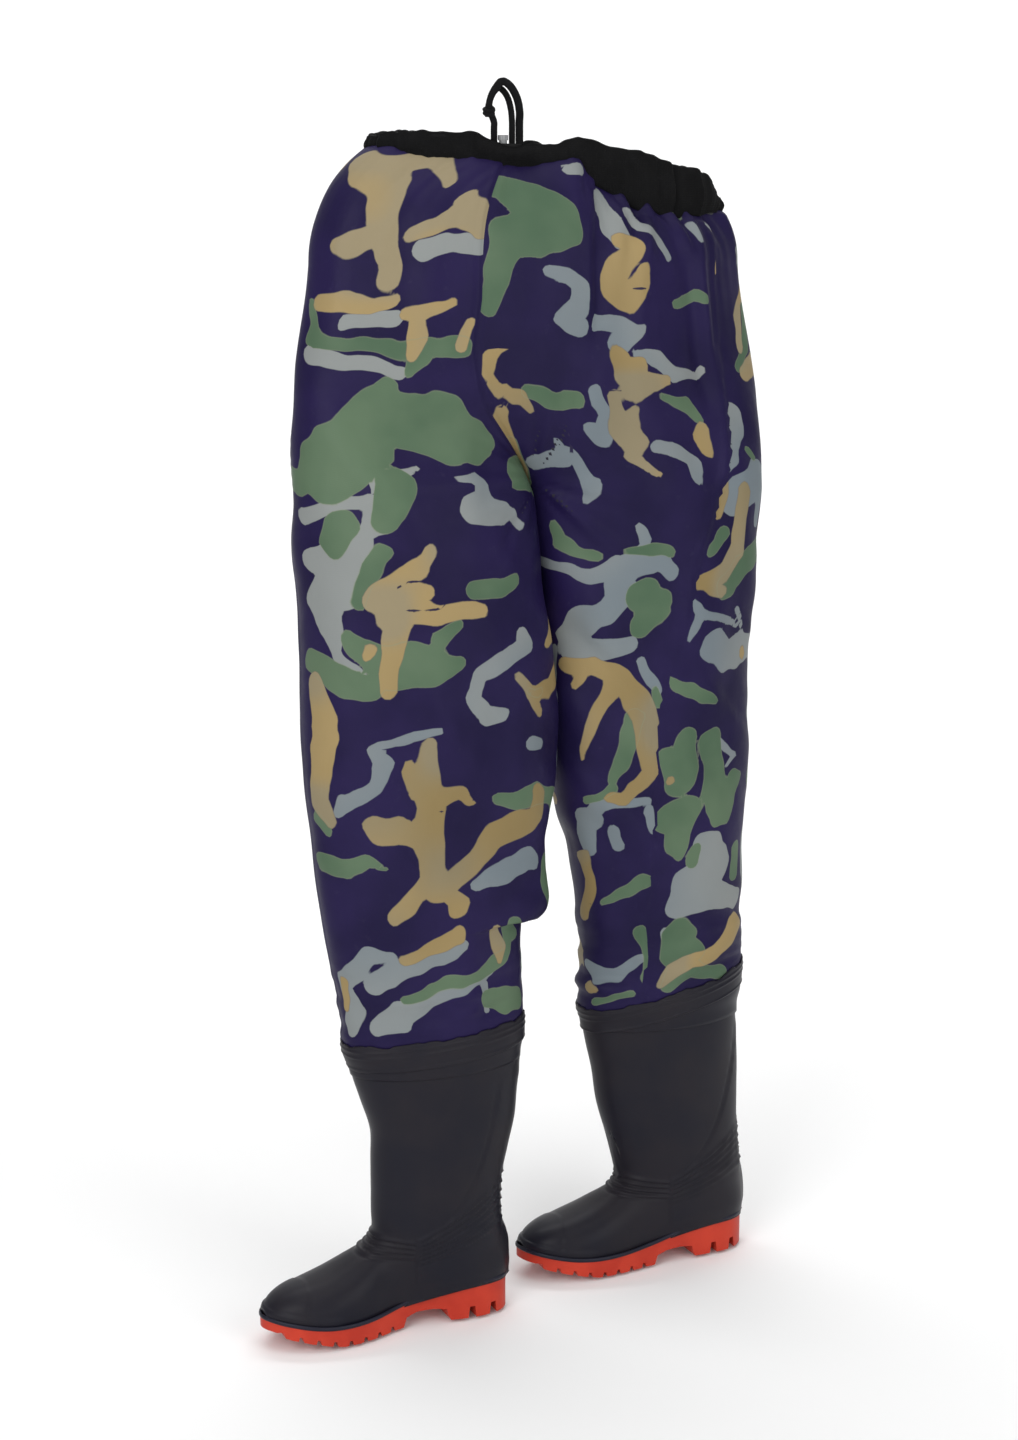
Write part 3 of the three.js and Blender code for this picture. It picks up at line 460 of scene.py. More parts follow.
def fabric_displacement(side, P, N, z, phi, S):
    """folds and creases, in mm along the normal"""
    x, y, h = P[..., 0], P[..., 1], P[..., 2]
    D = np.zeros(P.shape[:2])
    r3 = P.reshape(-1, 3)
    n = lambda sc, seed: noise3(r3, sc, seed).reshape(D.shape)
    # broad, tall, soft folds of a coated cloth
    D += 3.0 * n((75, 75, 260), 1) + 1.5 * n((34, 34, 120), 2)
    # gathers under the waistband, stronger on the wearer's left
    below = np.clip((SHOULDER + 120 - z), 0, None)
    gather = noise1(S.ravel() + 900, 17.0, 4).reshape(D.shape) + 0.6 * noise1(S.ravel() + 500, 9.0, 5).reshape(D.shape)
    amp = 1.6 + 3.6 * smooth(40, 120, x)
    D += amp * gather * np.exp(-below / 55.0) * smooth(-2, 20, below)
    # long pleats running down from the waistband on the wearer's left
    if side == "left":
        for p0, width, a, length, lean in ((0.715, 0.014, 7.0, 210, -0.02), (0.765, 0.012, 5.5, 150, 0.018), (0.675, 0.012, 6.0, 260, 0.0), (0.81, 0.012, 3.2, 110, 0.01)):
            c = p0 + lean * below / 100
            D += a * np.exp(-((phi - c) / width) ** 2) * np.exp(-(below / length) ** 2) - 0.6 * a * np.exp(-((phi - c - 1.8 * width) / (1.3 * width)) ** 2) * np.exp(-(below / length) ** 2)
        # the pleat beside the centre front: a lapped edge
        fade = smooth(1060, 1120, h)
        D += 4.5 * fade * smooth(FOLD_PHI - 0.004, FOLD_PHI + 0.003, phi) * (1 - smooth(FOLD_PHI + 0.02, FOLD_PHI + 0.10, phi))
    # creases radiating from the fork
    fx, fz = 8.0, 925.0
    ang = np.arctan2(h - fz, x - fx)
    rad = np.hypot(x - fx, h - fz)
    front = smooth(0.0, 0.5, -N[..., 1])
    rays = noise1((ang * 60 + 700).ravel(), 11.0, 8).reshape(D.shape)
    D += 3.2 * rays * np.exp(-(rad / 130.0) ** 2) * smooth(5, 40, rad)
    # diagonal drag folds on the thighs
    diag = noise3(np.stack([x * 0.8 + h * 0.55, y, h * 0.8 - x * 0.55], -1).reshape(-1, 3), (30, 90, 210), 9).reshape(D.shape)
    D += 1.8 * diag * smooth(480, 640, h) * (1 - smooth(980, 1100, h))
    if side == "left":
        D += 2.6 * noise3(np.stack([x * 0.75 + h * 0.66, y, h * 0.75 - x * 0.66], -1).reshape(-1, 3), (24, 80, 150), 12).reshape(D.shape) * smooth(430, 560, h) * (1 - smooth(760, 900, h))
    # cross wrinkles above the boots
    low = 1 - smooth(330, 440 if side == "right" else 470, h)
    he = hem(side, x)
    free = smooth(0, 16, h - he)
    D += (2.4 if side == "right" else 3.4) * n((70, 70, 15), 14) * low * free
    D += (1.6 if side == "right" else 2.0) * n((34, 34, 11), 15) * low * smooth(0, 10, h - he)
    calm = 1 - 0.9 * (1 - smooth(-2, 26, h - he))
    D *= calm
    D -= 2.2 * (1 - smooth(-7, 0, h - he))
    # the fold at the right knee: a lip on the inner and front side
    if side == "right":
        a = (phi + 0.5) % 1.0 - 0.5                      # 0 at the inseam, negative round the front
        lip = 452.0 + 10.0 * np.clip(a / 0.25, -1, 1)
        reach = np.where(a < 0, 1 - smooth(0.06, 0.235, -a), 1 - smooth(0.05, 0.22, a))
        above = h - lip
        D += reach * 17.0 * smooth(-1.5, 2.5, above) * (1 - 0.85 * smooth(5, 95, above))
        D -= reach * 3.0 * np.exp(-((above + 7) / 7.0) ** 2)
        D += reach * 3.0 * n((40, 40, 26), 17) * smooth(0, 12, above) * (1 - smooth(40, 110, above))
    # lapped, welded seams
    edge = np.minimum(S - S[:, :1], S[:, -1:] - S)
    if side == "right":
        D += 1.2 * (1 - smooth(7.0, 9.0, edge))
    D -= 1.9 * np.exp(-(edge / 1.8) ** 2) * smooth(CROTCH - 10, CROTCH + 40, z)
    seam = table(LEFT_SEAM, z) if side == "left" else np.full_like(z, RIGHT_SEAM_PHI)
    ds = (phi - seam) * (S[:, -1:] - S[:, :1])
    D += 1.2 * smooth(-1.5, 0.5, ds) * (1 - smooth(8.5, 10.5, ds)) - 1.2 * np.exp(-(ds / 1.7) ** 2)
    return D


def build_leg(side):
    zr = leg_rows(side)
    phi = np.linspace(0, 1, COLS + 1)
    Z, PH = np.meshgrid(zr, phi, indexing="ij")
    P, TH = leg_base(side, Z, PH)
    j0 = COLS // 2
    # even out the spacing round each ring
    S = arc_coordinate(P, 0)
    T = S / S[:, -1:]
    PH2 = np.stack([np.interp(np.linspace(0, 1, COLS + 1), T[i], PH[i]) for i in range(len(zr))])
    P, TH = leg_base(side, Z, PH2)
    S = arc_coordinate(P, 0)
    S = S - S[:, -1:] * (0.5 if True else 0)
    closed = zr <= CROTCH + 0.1
    N = grid_normals(P)
    if side == "left":
        N = -N
    # outward: away from the leg's axis
    C = P.mean(1, keepdims=True)
    s = np.sign(((P - C) * N).sum(-1).sum())
    N = N * (s if s != 0 else 1)
    # the seam columns share one normal on closed rings
    m = N[:, 0] + N[:, -1]
    m /= np.maximum(np.linalg.norm(m, axis=-1, keepdims=True), 1e-9)
    N[closed, 0] = N[closed, -1] = m[closed]
    D = fabric_displacement(side, P, N, Z, PH2, S)
    wseam = np.where(closed[:, None], 1.0, 0.0)
    D0 = 0.5 * (D[:, :1] + D[:, -1:])
    blend_w = np.exp(-((np.minimum(np.arange(COLS + 1), COLS - np.arange(COLS + 1)))[None] / 3.0) ** 2)
    D = D + (D0 - D) * blend_w * wseam
    return dict(P=P, N=N, D=D, Z=Z, PH=PH2, S=S, Q=P + N * D[..., None], rows=zr)


LEG = {s: build_leg(s) for s in ("right", "left")}
# the two sides meet along the rise: give them one line and one normal there
upper = LEG["right"]["rows"] > CROTCH + 0.1
nu = int(upper.sum())
for col in (0, -1):
    a, b = LEG["right"]["Q"][:nu, col], LEG["left"]["Q"][:nu, col]
    q = 0.5 * (a + b)
    for s in ("right", "left"):
        L = LEG[s]
        shift = q - L["Q"][:nu, col]
        for k in range(6):
            c = k if col == 0 else -1 - k
            L["Q"][:nu, c] += shift * (1 - k / 6.0) ** 2


# ------------------------------------------------------------ printed pattern
# Camouflage print in flat coordinates of each panel: p runs round the leg in mm from its middle line, q is the height.
# Each stroke is (panel, colour, [(p, q, radius), ...]).
STROKES = [
    (0, 2, [(108.9, 1222, 15.1), (131.9, 1178.4, 15.1), (139.5, 1154.7, 12.8), (140.5, 1135, 10.4)]),
    (0, 2, [(57.7, 1249.5, 10.4), (85, 1237.9, 16.2), (108.9, 1222, 13.9)]),
    (0, 2, [(100.6, 1232, 11.6), (99.8, 1250.7, 11.6), (121.8, 1253.3, 7), (161.5, 1232.5, 4.6)]),
    (0, 2, [(85.3, 1169.7, 7), (97.9, 1169.5, 10.4), (122.5, 1178.7, 10.4)]),
    (0, 2, [(160.1, 1177.9, 7), (183.7, 1186.5, 10.4), (204.8, 1199.2, 15.1), (226.1, 1189.7, 15.1)]),
    (0, 2, [(193.4, 1213, 9.3), (204.8, 1199.2, 11.6)]),
    (0, 2, [(71, 1115, 9.3), (103.2, 1115, 10.4), (129.2, 1110, 9.3), (148.4, 1115, 5.8)]),
    (0, 2, [(162.1, 1100, 5.8), (181.5, 1100, 8.1), (209.7, 1115, 4.6)]),
    (0, 2, [(178.6, 1095, 8.1), (179.6, 1075, 10.4), (177.6, 1060, 7)]),
    (0, 2, [(230.5, 1095, 5.8), (228.9, 1070, 7)]),
    (0, 2, [(156.3, 860, 8.1), (142.7, 840, 10.4), (109.8, 820, 13.9), (95.6, 810, 11.6)]),
    (0, 2, [(152.7, 820, 8.1), (114.8, 800, 18.6), (167.5, 795, 10.4), (201.1, 795, 9.3), (215.4, 795, 5.8)]),
    (0, 2, [(119.8, 785, 16.2), (115.2, 760, 12.8), (110.5, 735, 11.6), (110.5, 715, 9.3)]),
    (0, 2, [(91.2, 765, 5.8), (86.4, 755, 4.6)]),
    (0, 2, [(24, 720, 13.9), (38.4, 685, 18.6), (28.6, 640, 16.2), (23.4, 600, 13.9), (36.5, 575, 7)]),
    (0, 2, [(148, 655, 8.1), (147, 625, 12.8), (144.5, 595, 15.1), (138.7, 560, 16.2), (141.7, 520, 16.2), (142.4, 495, 13.9)]),
    (0, 2, [(128.2, 630, 9.3), (131.9, 610, 8.1)]),
    (0, 2, [(155, 605, 10.4), (183.2, 605, 8.1), (194.9, 590, 4.6)]),
    (0, 2, [(86.1, 570, 15.1), (108.7, 570, 15.1), (129.8, 560, 11.6)]),
    (0, 2, [(144.6, 510, 13.9), (121.4, 495, 10.4), (94.3, 475, 9.3)]),
    (0, 2, [(151.4, 500, 12.8), (165, 480, 11.6), (162.8, 470, 9.3)]),
    (0, 2, [(165.9, 510, 10.4), (194.3, 525, 10.4), (221.3, 550, 15.1), (250.6, 560, 15.1), (274.6, 565, 10.4), (278.4, 590, 9.3)]),
    (0, 2, [(93.7, 425.8, 5.8), (136.7, 436.4, 9.3), (162.2, 445.2, 8.1)]),
    (0, 2, [(207.6, 443, 7), (209.9, 425.8, 9.3), (206.6, 408.8, 3.5)]),
    (0, 2, [(18.2, 395.2, 7), (14.2, 364.6, 4.6)]),
    (0, 0, [(174, 1163.8, 9.3), (205.3, 1168, 9.3), (230.5, 1167.6, 10.4)]),
    (0, 0, [(103.9, 1095, 8.1), (133.1, 1095, 9.3), (152.6, 1095, 9.3)]),
    (0, 0, [(72.3, 1060, 11.6), (112.7, 1050, 8.1), (163.1, 1045, 7)]),
    (0, 0, [(105.5, 980, 3.5), (112.3, 960, 5.8), (108.8, 940, 7), (106.6, 925, 4.6)]),
    (0, 0, [(111, 935, 4.6), (142.3, 940, 4.6), (156, 945, 2.3)]),
    (0, 0, [(23.5, 900, 9.3), (69.8, 910, 7), (97.7, 910, 7)]),
    (0, 0, [(97.7, 910, 9.3), (94.2, 885, 10.4), (108.2, 890, 9.3)]),
    (0, 0, [(33.2, 850, 16.2), (71.1, 855, 18.6), (43, 810, 23.2), (47.9, 780, 13.9), (52.8, 755, 5.8), (81.6, 740, 3.5)]),
    (0, 0, [(85.1, 870, 16.2), (66.8, 820, 16.2)]),
    (0, 0, [(191.7, 930, 3.5), (213.5, 930, 5.8), (223.3, 910, 11.6), (206.4, 900, 12.8), (249, 895, 11.6)]),
    (0, 0, [(263.1, 895, 7), (278.2, 880, 4.6)]),
    (0, 0, [(259, 770, 8.1), (264, 755, 11.6), (230.6, 740, 9.3), (206.6, 725, 8.1), (201.8, 700, 8.1), (216, 685, 10.4), (235.2, 685, 7)]),
    (0, 0, [(162.8, 670, 3.5), (129.1, 665, 5.8), (90.7, 655, 4.6), (100, 640, 10.4), (89.7, 615, 8.1), (56.2, 600, 9.3), (46.1, 585, 5.8)]),
    (0, 0, [(271.9, 650, 8.1), (286, 645, 5.8)]),
    (0, 0, [(189.4, 500, 7), (221.2, 510, 11.6), (257.8, 520, 12.8), (269.3, 515, 9.3)]),
    (0, 0, [(82.8, 429.2, 4.6), (56.4, 429.2, 9.3), (37, 412.2, 10.4), (18.2, 395.2, 11.6), (24.9, 368, 10.4), (17.5, 344.2, 9.3)]),
    (0, 0, [(54.8, 398.6, 11.6), (85.3, 415.6, 10.4), (133.8, 419, 8.1), (162.9, 434.2, 7)]),
    (0, 0, [(190.7, 402, 7), (155.8, 388.4, 8.1), (111.2, 378.2, 9.3), (74.5, 364.6, 13.9), (45.6, 347.6, 10.4), (74, 354.4, 11.6)]),
    (0, 0, [(180.6, 385, 5.8), (179.6, 354.4, 3.5)]),
    (0, 1, [(68.6, 1075, 8.1), (114.5, 1070, 7), (163.7, 1065, 8.1), (206.3, 1065, 10.4), (228.9, 1070, 11.6)]),
    (0, 1, [(184.9, 1055, 10.4), (173, 1045, 7)]),
    (0, 1, [(151.5, 1030, 9.3), (145.2, 1005, 23.2), (110.7, 975, 30.2), (58.6, 940, 30.2)]),
    (0, 1, [(157.9, 995, 30.2), (197.4, 985, 39.4), (224.7, 970, 27.8), (243.4, 970, 13.9)]),
    (0, 1, [(128.8, 925, 20.9), (108, 895, 13.9), (119.4, 915, 16.2)]),
    (0, 1, [(65.9, 885, 18.6), (56.7, 870, 16.2)]),
    (0, 1, [(109, 860, 10.4), (95.1, 840, 9.3), (81.2, 810, 8.1)]),
    (0, 1, [(67.1, 770, 9.3), (86.4, 760, 13.9), (120.1, 740, 25.5), (153.7, 740, 23.2), (182.7, 740, 9.3)]),
    (0, 1, [(14.4, 745, 11.6), (62.4, 730, 16.2), (91.3, 720, 13.9)]),
    (0, 1, [(163.1, 770, 9.3), (182.3, 780, 5.8)]),
    (0, 1, [(205.4, 815, 9.3), (238.8, 815, 11.6), (257.6, 825, 5.8)]),
    (0, 1, [(264.3, 705, 3.5), (283.5, 700, 4.6)]),
    (0, 1, [(13, 530, 9.3), (47.5, 525, 10.4), (69.7, 535, 7), (86.8, 530, 2.3)]),
    (0, 1, [(210.8, 412.2, 8.1), (175.5, 398.6, 7), (141.8, 391.8, 7), (108.3, 385, 5.8), (82.8, 381.6, 4.6)]),
    (0, 1, [(235.6, 436.4, 9.3), (231.1, 451.8, 8.1), (218.2, 412.2, 5.8)]),
    (0, 1, [(181.4, 368, 9.3), (205.3, 361.2, 16.2), (226.5, 361.2, 13.9)]),
    (0, 1, [(18.3, 580, 7), (31.5, 565, 5.8)]),
    (0, 1, [(58.1, 1115, 4.6), (75.2, 1070, 5.8)]),
    (0, 3, [(124.4, 800, 1.2), (138.8, 795, 1.9), (153.1, 800, 1.6), (172, 805, 1.2)]),
    (0, 3, [(119.3, 820, 1), (133.5, 825, 1.5), (152.5, 830, 1)]),
    (0, 3, [(148.5, 590, 0.9), (156.9, 585, 1.5), (170.8, 585, 0.9)]),
    (1, 1, [(298.9, 1224.5, 13.9), (279.7, 1215.4, 20.9), (245.2, 1199.1, 23.2), (232.2, 1181.4, 16.2), (264.3, 1172.2, 18.6), (298.8, 1176.1, 23.2), (309.9, 1150, 16.2), (318.1, 1125, 13.9), (325.3, 1110, 9.3)]),
    (1, 0, [(257.9, 1140, 5.8), (236.2, 1135, 8.1), (224, 1125, 10.4), (226.7, 1105, 11.6), (251, 1095, 9.3), (225.1, 1085, 9.3)]),
    (1, 0, [(218.3, 1244, 5.8), (202.7, 1243.8, 7)]),
    (1, 0, [(318.3, 1163.1, 4.6), (305, 1163, 3.5)]),
    (2, 2, [(310.7, 1070, 5.8), (331, 1055, 7), (336.7, 1040, 5.8)]),
    (2, 2, [(332.5, 1030, 5.8), (327.3, 1020, 7), (318.3, 1025, 4.6)]),
    (2, 2, [(328.9, 1000, 7), (337.2, 970, 8.1), (344.5, 940, 5.8), (366.7, 905, 3.5)]),
    (2, 2, [(312.8, 1015, 8.1), (303.4, 1015, 8.1), (296.5, 1000, 4.6)]),
    (2, 2, [(170.9, 1173.9, 7), (154.2, 1165.7, 9.3), (168.2, 1153.3, 11.6), (183.2, 1130, 15.1), (171.1, 1115, 15.1), (151.9, 1130, 10.4), (146.4, 1145, 7)]),
    (2, 2, [(24.8, 1187, 4.6), (26.3, 1166.2, 5.8), (31.1, 1140, 4.6)]),
    (2, 2, [(181.8, 1055, 10.4), (187, 1040, 12.8), (163.5, 1045, 7), (177.9, 1025, 15.1), (154.5, 1025, 11.6), (131.1, 1030, 5.8), (172.7, 1015, 9.3)]),
    (2, 2, [(200.7, 1015, 9.3), (203.3, 995, 11.6), (214.2, 970, 12.8), (188.7, 990, 8.1), (180.7, 1000, 4.6)]),
    (2, 2, [(195.9, 970, 7), (215.9, 950, 8.1), (204.8, 940, 7), (194.5, 930, 4.6)]),
    (2, 2, [(118.4, 965, 5.8), (104.9, 975, 5.8), (118.9, 955, 7)]),
    (2, 2, [(281.6, 720, 9.3), (255.6, 720, 11.6), (223.4, 705, 11.6), (193.9, 670, 13.9), (186.5, 635, 13.9), (183.4, 600, 10.4), (212, 570, 8.1), (228, 570, 5.8)]),
    (2, 2, [(274.2, 700, 4.6), (267.1, 710, 7)]),
    (2, 2, [(230.8, 695, 11.6), (244.5, 670, 9.3), (250.3, 650, 7), (255.7, 625, 3.5), (258.1, 610, 1.7)]),
    (2, 2, [(253.6, 500, 8.1), (243.3, 475, 7), (244.8, 450, 9.3), (247.3, 425, 8.1)]),
    (2, 2, [(233.7, 343.4, 7), (226.8, 343.4, 4.6)]),
    (2, 0, [(196.4, 1218.4, 9.3), (171.9, 1211.8, 13.9), (172, 1188.3, 13.9), (166.5, 1173.4, 10.4)]),
    (2, 0, [(141.9, 1196.8, 9.3), (136.7, 1186.2, 7), (117.3, 1175, 7), (110.6, 1155.4, 4.6)]),
    (2, 0, [(57.9, 1187.7, 5.8), (60.5, 1173.5, 3.5)]),
    (2, 0, [(28, 1194.1, 3.5), (25.6, 1177.8, 3.5)]),
    (2, 0, [(210.6, 1090, 9.3), (170, 1085, 10.4), (156.2, 1085, 5.8), (181.4, 1065, 10.4)]),
    (2, 0, [(163.1, 1055, 5.8), (140, 1050, 9.3), (121.7, 1035, 8.1), (84.3, 1030, 4.6), (74.8, 1040, 4.6)]),
    (2, 0, [(224.5, 1020, 8.1), (223, 1005, 9.3), (216.3, 990, 9.3), (236.9, 970, 9.3), (242.3, 980, 7)]),
    (2, 0, [(328.1, 945, 7), (289.4, 950, 9.3), (274.5, 955, 7), (275.1, 930, 8.1), (273.9, 915, 9.3), (266.4, 920, 5.8), (281.3, 900, 4.6)]),
    (2, 0, [(282.5, 965, 3.5), (282.9, 960, 4.6)]),
    (2, 0, [(187, 960, 4.6), (160.1, 955, 9.3), (143.2, 945, 10.4), (148.5, 925, 7)]),
    (2, 0, [(331.2, 835, 5.8), (302.1, 830, 5.8), (268.5, 825, 8.1), (246.3, 830, 11.6), (232.8, 805, 18.6), (247.8, 785, 16.2)]),
    (2, 0, [(223.9, 835, 13.9), (191.3, 835, 11.6), (180.6, 825, 9.3)]),
    (2, 0, [(268.7, 775, 18.6), (283, 755, 13.9), (276.1, 740, 16.2), (249.8, 740, 13.9), (215.4, 745, 9.3)]),
    (2, 0, [(301.5, 735, 7), (300, 700, 5.8)]),
    (2, 0, [(199.8, 725, 5.8), (188.6, 700, 7), (179, 690, 5.8)]),
    (2, 0, [(238.1, 560, 9.3), (219.2, 565, 5.8), (183.3, 565, 3.5)]),
    (2, 0, [(249.3, 540, 16.2), (254.5, 530, 11.6), (243.8, 505, 7)]),
    (2, 0, [(181.7, 555, 5.8), (173.5, 530, 4.6)]),
    (2, 0, [(223.6, 530, 7), (215, 510, 7), (222.5, 525, 5.8)]),
    (2, 0, [(243.7, 363.8, 5.8), (226.7, 357, 8.1), (202.7, 357, 8.1), (178.4, 377.4, 5.8)]),
    (2, 0, [(213.4, 855, 7), (221, 870, 5.8)]),
    (2, 1, [(332.6, 970, 4.6), (344.5, 940, 7), (349.8, 925, 4.6)]),
    (2, 1, [(294.6, 1020, 7), (275.4, 1015, 10.4), (246.9, 1010, 8.1)]),
    (2, 1, [(108.4, 1110, 4.6), (76.3, 1120, 7), (67.5, 1115, 5.8)]),
    (2, 1, [(144.4, 1010, 3.5), (115.8, 1000, 8.1), (105.5, 985, 7)]),
    (2, 1, [(315.1, 880, 4.6), (304.8, 860, 8.1), (288, 850, 7), (263.3, 845, 4.6)]),
    (2, 1, [(235.1, 845, 3.5), (206.9, 845, 7), (183.4, 845, 7)]),
    (2, 1, [(209.3, 800, 18.6), (193.2, 780, 18.6), (204.7, 765, 13.9), (185.9, 795, 11.6)]),
    (2, 1, [(201.3, 660, 8.1), (207.2, 635, 11.6), (217.1, 610, 8.1), (227, 590, 5.8)]),
    (2, 1, [(178, 680, 7), (183.3, 690, 4.6)]),
    (2, 1, [(223.5, 450, 3.5), (200.5, 460, 7), (180.7, 470, 8.1)]),
    (2, 1, [(179.8, 411.4, 9.3), (165.1, 394.4, 13.9), (164.9, 357, 11.6)]),
    (2, 1, [(229.4, 326.4, 4.6), (188.8, 336.6, 3.5)]),
    (2, 1, [(251, 565, 4.6), (225.6, 580, 5.8)]),
    (2, 3, [(191.7, 1020, 1.6), (210.6, 1025, 1.2), (215.4, 1030, 0.9)]),
    (2, 3, [(264.6, 975, 1.2), (274.5, 955, 1.9)]),
    (2, 3, [(340, 1010, 1.2), (329.9, 1005, 1.6), (321.4, 1010, 1.2)]),
    (2, 3, [(161.3, 1125, 1.4), (143.7, 1120, 1.4)]),
    (2, 3, [(254.4, 445, 1.4), (236.8, 445, 1.4)]),
    (3, 2, [(116.2, 920, 8.1), (123.3, 900, 10.4), (126, 880, 5.8)]),
    (3, 2, [(89.2, 905, 9.3), (91.7, 875, 10.4), (93.6, 840, 11.6), (110.7, 820, 11.6), (142, 810, 8.1), (109.2, 800, 7)]),
    (3, 2, [(56.5, 725, 5.8), (52, 720, 4.6)]),
    (3, 2, [(44.8, 404.6, 10.4), (72, 380.8, 11.6), (120.1, 367.2, 8.1), (144.3, 357, 9.3), (154.7, 346.8, 5.8)]),
    (3, 2, [(161.6, 585, 5.8), (161.6, 585, 5.8)]),
    (3, 0, [(-22, 1163.9, 5.8), (-22.4, 1130, 5.8), (-22.6, 1110, 4.6)]),
    (3, 0, [(46.2, 995, 8.1), (63.8, 970, 9.3), (87.3, 950, 7), (113.8, 930, 7)]),
    (3, 0, [(115.5, 945, 7), (128, 930, 8.1)]),
    (3, 0, [(63.6, 915, 9.3), (52.8, 870, 7)]),
    (3, 0, [(154.2, 795, 4.6), (139.2, 780, 5.8), (146.4, 760, 4.6), (149.9, 750, 2.3)]),
    (3, 0, [(134.7, 780, 4.6), (97.9, 765, 5.8), (74.9, 750, 2.3)]),
    (3, 0, [(94.9, 625, 4.6), (69.5, 605, 3.5), (81.3, 595, 2.3)]),
    (3, 0, [(104.4, 500, 20.9), (91.7, 485, 23.2), (121.7, 460, 27.8), (133.9, 440, 18.6), (88.3, 445, 16.2), (52.4, 430, 13.9)]),
    (3, 0, [(148.7, 411.4, 3.5), (147.7, 387.6, 3.5)]),
    (3, 0, [(80.6, 775, 3.5), (56.8, 735, 2.3)]),
    (3, 1, [(-22.6, 1110, 7), (-9.3, 1065, 7), (18.7, 1040, 5.8)]),
    (3, 1, [(114.3, 860, 8.1), (131.6, 845, 7)]),
    (3, 1, [(163, 700, 4.6), (140.6, 690, 9.3), (127.2, 680, 8.1), (109.9, 675, 3.5)]),
    (3, 1, [(159.8, 610, 16.2), (149.5, 585, 18.6), (140.9, 635, 13.9)]),
    (3, 1, [(155.8, 540, 18.6), (133.7, 550, 16.2), (146.3, 505, 13.9)]),
    (3, 1, [(107.2, 625, 16.2), (100, 570, 20.9), (89.6, 540, 16.2), (68.2, 575, 11.6)]),
    (3, 1, [(125.4, 490, 8.1), (119.3, 500, 7)]),
    (3, 1, [(53.9, 465, 9.3), (55.6, 495, 8.1)]),
    (3, 1, [(131, 401.2, 20.9), (140.6, 374, 16.2), (120.1, 384.2, 18.6), (144.3, 343.4, 11.6), (120.2, 360.4, 11.6), (68.7, 346.8, 7)]),
    (3, 1, [(60.1, 945, 5.8), (55.9, 940, 5.8)]),
    (4, 0, [(13, 1105, 16.3), (36, 1119.4, 15.1), (68.5, 1138.7, 17.6)]),
    (4, 0, [(-155.3, 1154.4, 15.9), (-136, 1178.3, 14), (-114.5, 1190.2, 12.6), (-91.7, 1187.1, 16.4), (-73.7, 1202, 12.6)]),
    (4, 0, [(-114.5, 1190.2, 12.6), (-141, 1176.2, 7.6)]),
    (4, 2, [(-95.8, 790, 13.8), (-124, 774.9, 11.4), (-144.1, 752.1, 12), (-167.2, 750.7, 10.7), (-190, 744.7, 7.7)]),
    (4, 2, [(-144.1, 752.1, 12), (-148.8, 781.7, 7.2)]),
    (4, 2, [(-187.4, 695, 11.5), (-223.8, 695.2, 14.1), (-243.5, 712.9, 10.3)]),
    (4, 2, [(-223.8, 695.2, 14.1), (-243.7, 717.7, 8.5)]),
    (4, 0, [(-141.6, 875, 10.9), (-130.3, 910.1, 14.4), (-100.5, 928.9, 13.2), (-74, 924.6, 13.3), (-53.1, 941.3, 9.4)]),
    (4, 2, [(-162.9, 447.4, 12.6), (-149.5, 427, 14.6), (-125.3, 403.9, 18.5)]),
    (4, 1, [(-237.7, 990, 16.1), (-249.1, 1021.7, 19.6), (-264, 1038.2, 16.5), (-294.1, 1060.9, 19.8), (-308.7, 1088, 18.4)]),
    (4, 0, [(-114.1, 310.2, 12), (-94.8, 326.2, 14.1), (-84.1, 345.1, 10.9), (-59.2, 369.4, 14.3), (-47.6, 403.3, 17.1)]),
    (4, 2, [(-326.6, 740, 9.2), (-322.4, 776.6, 11.1), (-311.1, 810.8, 11.7), (-316.9, 831.7, 8.7), (-331.7, 850.3, 7.6)]),
    (4, 2, [(-311.1, 810.8, 11.7), (-340.6, 805.5, 7)]),
    (4, 0, [(-41.1, 422.4, 15.7), (-13.9, 402.4, 17.8), (-10.1, 380.9, 16), (-19.7, 361.1, 15.9)]),
    (4, 0, [(-187.1, 1040, 13.3), (-217.5, 1024.8, 14.1), (-241.7, 1021.8, 10.7), (-261.7, 1024.9, 8)]),
    (4, 0, [(-28.3, 615, 16.1), (-36.1, 589.7, 12.3), (-22.4, 562.8, 15.1)]),
    (4, 0, [(-36.1, 589.7, 12.3), (-6.4, 585.4, 7.4)]),
    (4, 2, [(-61.8, 980, 8.2), (-30.7, 996.4, 5.5), (-12.1, 1020.6, 7.6), (5, 1053.8, 6.7), (17, 1076.9, 8.6)]),
    (4, 2, [(-12.1, 1020.6, 7.6), (-39.8, 1032, 4.6)]),
    (4, 0, [(-149.8, 371.4, 8.1), (-118.2, 354.2, 9.9), (-106, 338.2, 10.2), (-76.5, 320.2, 7.8), (-41.3, 309.1, 5.8)]),
    (4, 0, [(-80.8, 510, 11.3), (-95.3, 527.2, 9), (-117.7, 541.6, 6.6), (-131.5, 558.1, 6.1), (-158.2, 566.7, 5.7)]),
    (4, 0, [(-117.7, 541.6, 6.6), (-98.1, 518.9, 4)]),
    (4, 1, [(-103.9, 1199.7, 9.2), (-80.3, 1177.1, 5.8), (-66.1, 1142.9, 4), (-54.2, 1122.2, 4)]),
    (0, 1, [(30.8, 1015, 8.1), (9.3, 1028.5, 6.3), (-18, 1020.6, 4.6), (-35.8, 987.7, 6.3), (-68.7, 973, 5.8)]),
    (4, 1, [(-66.5, 850, 12.4), (-101.9, 858.3, 12.3), (-132, 843.1, 16.2)]),
    (4, 1, [(-101.9, 858.3, 12.3), (-118.6, 883.2, 7.4)]),
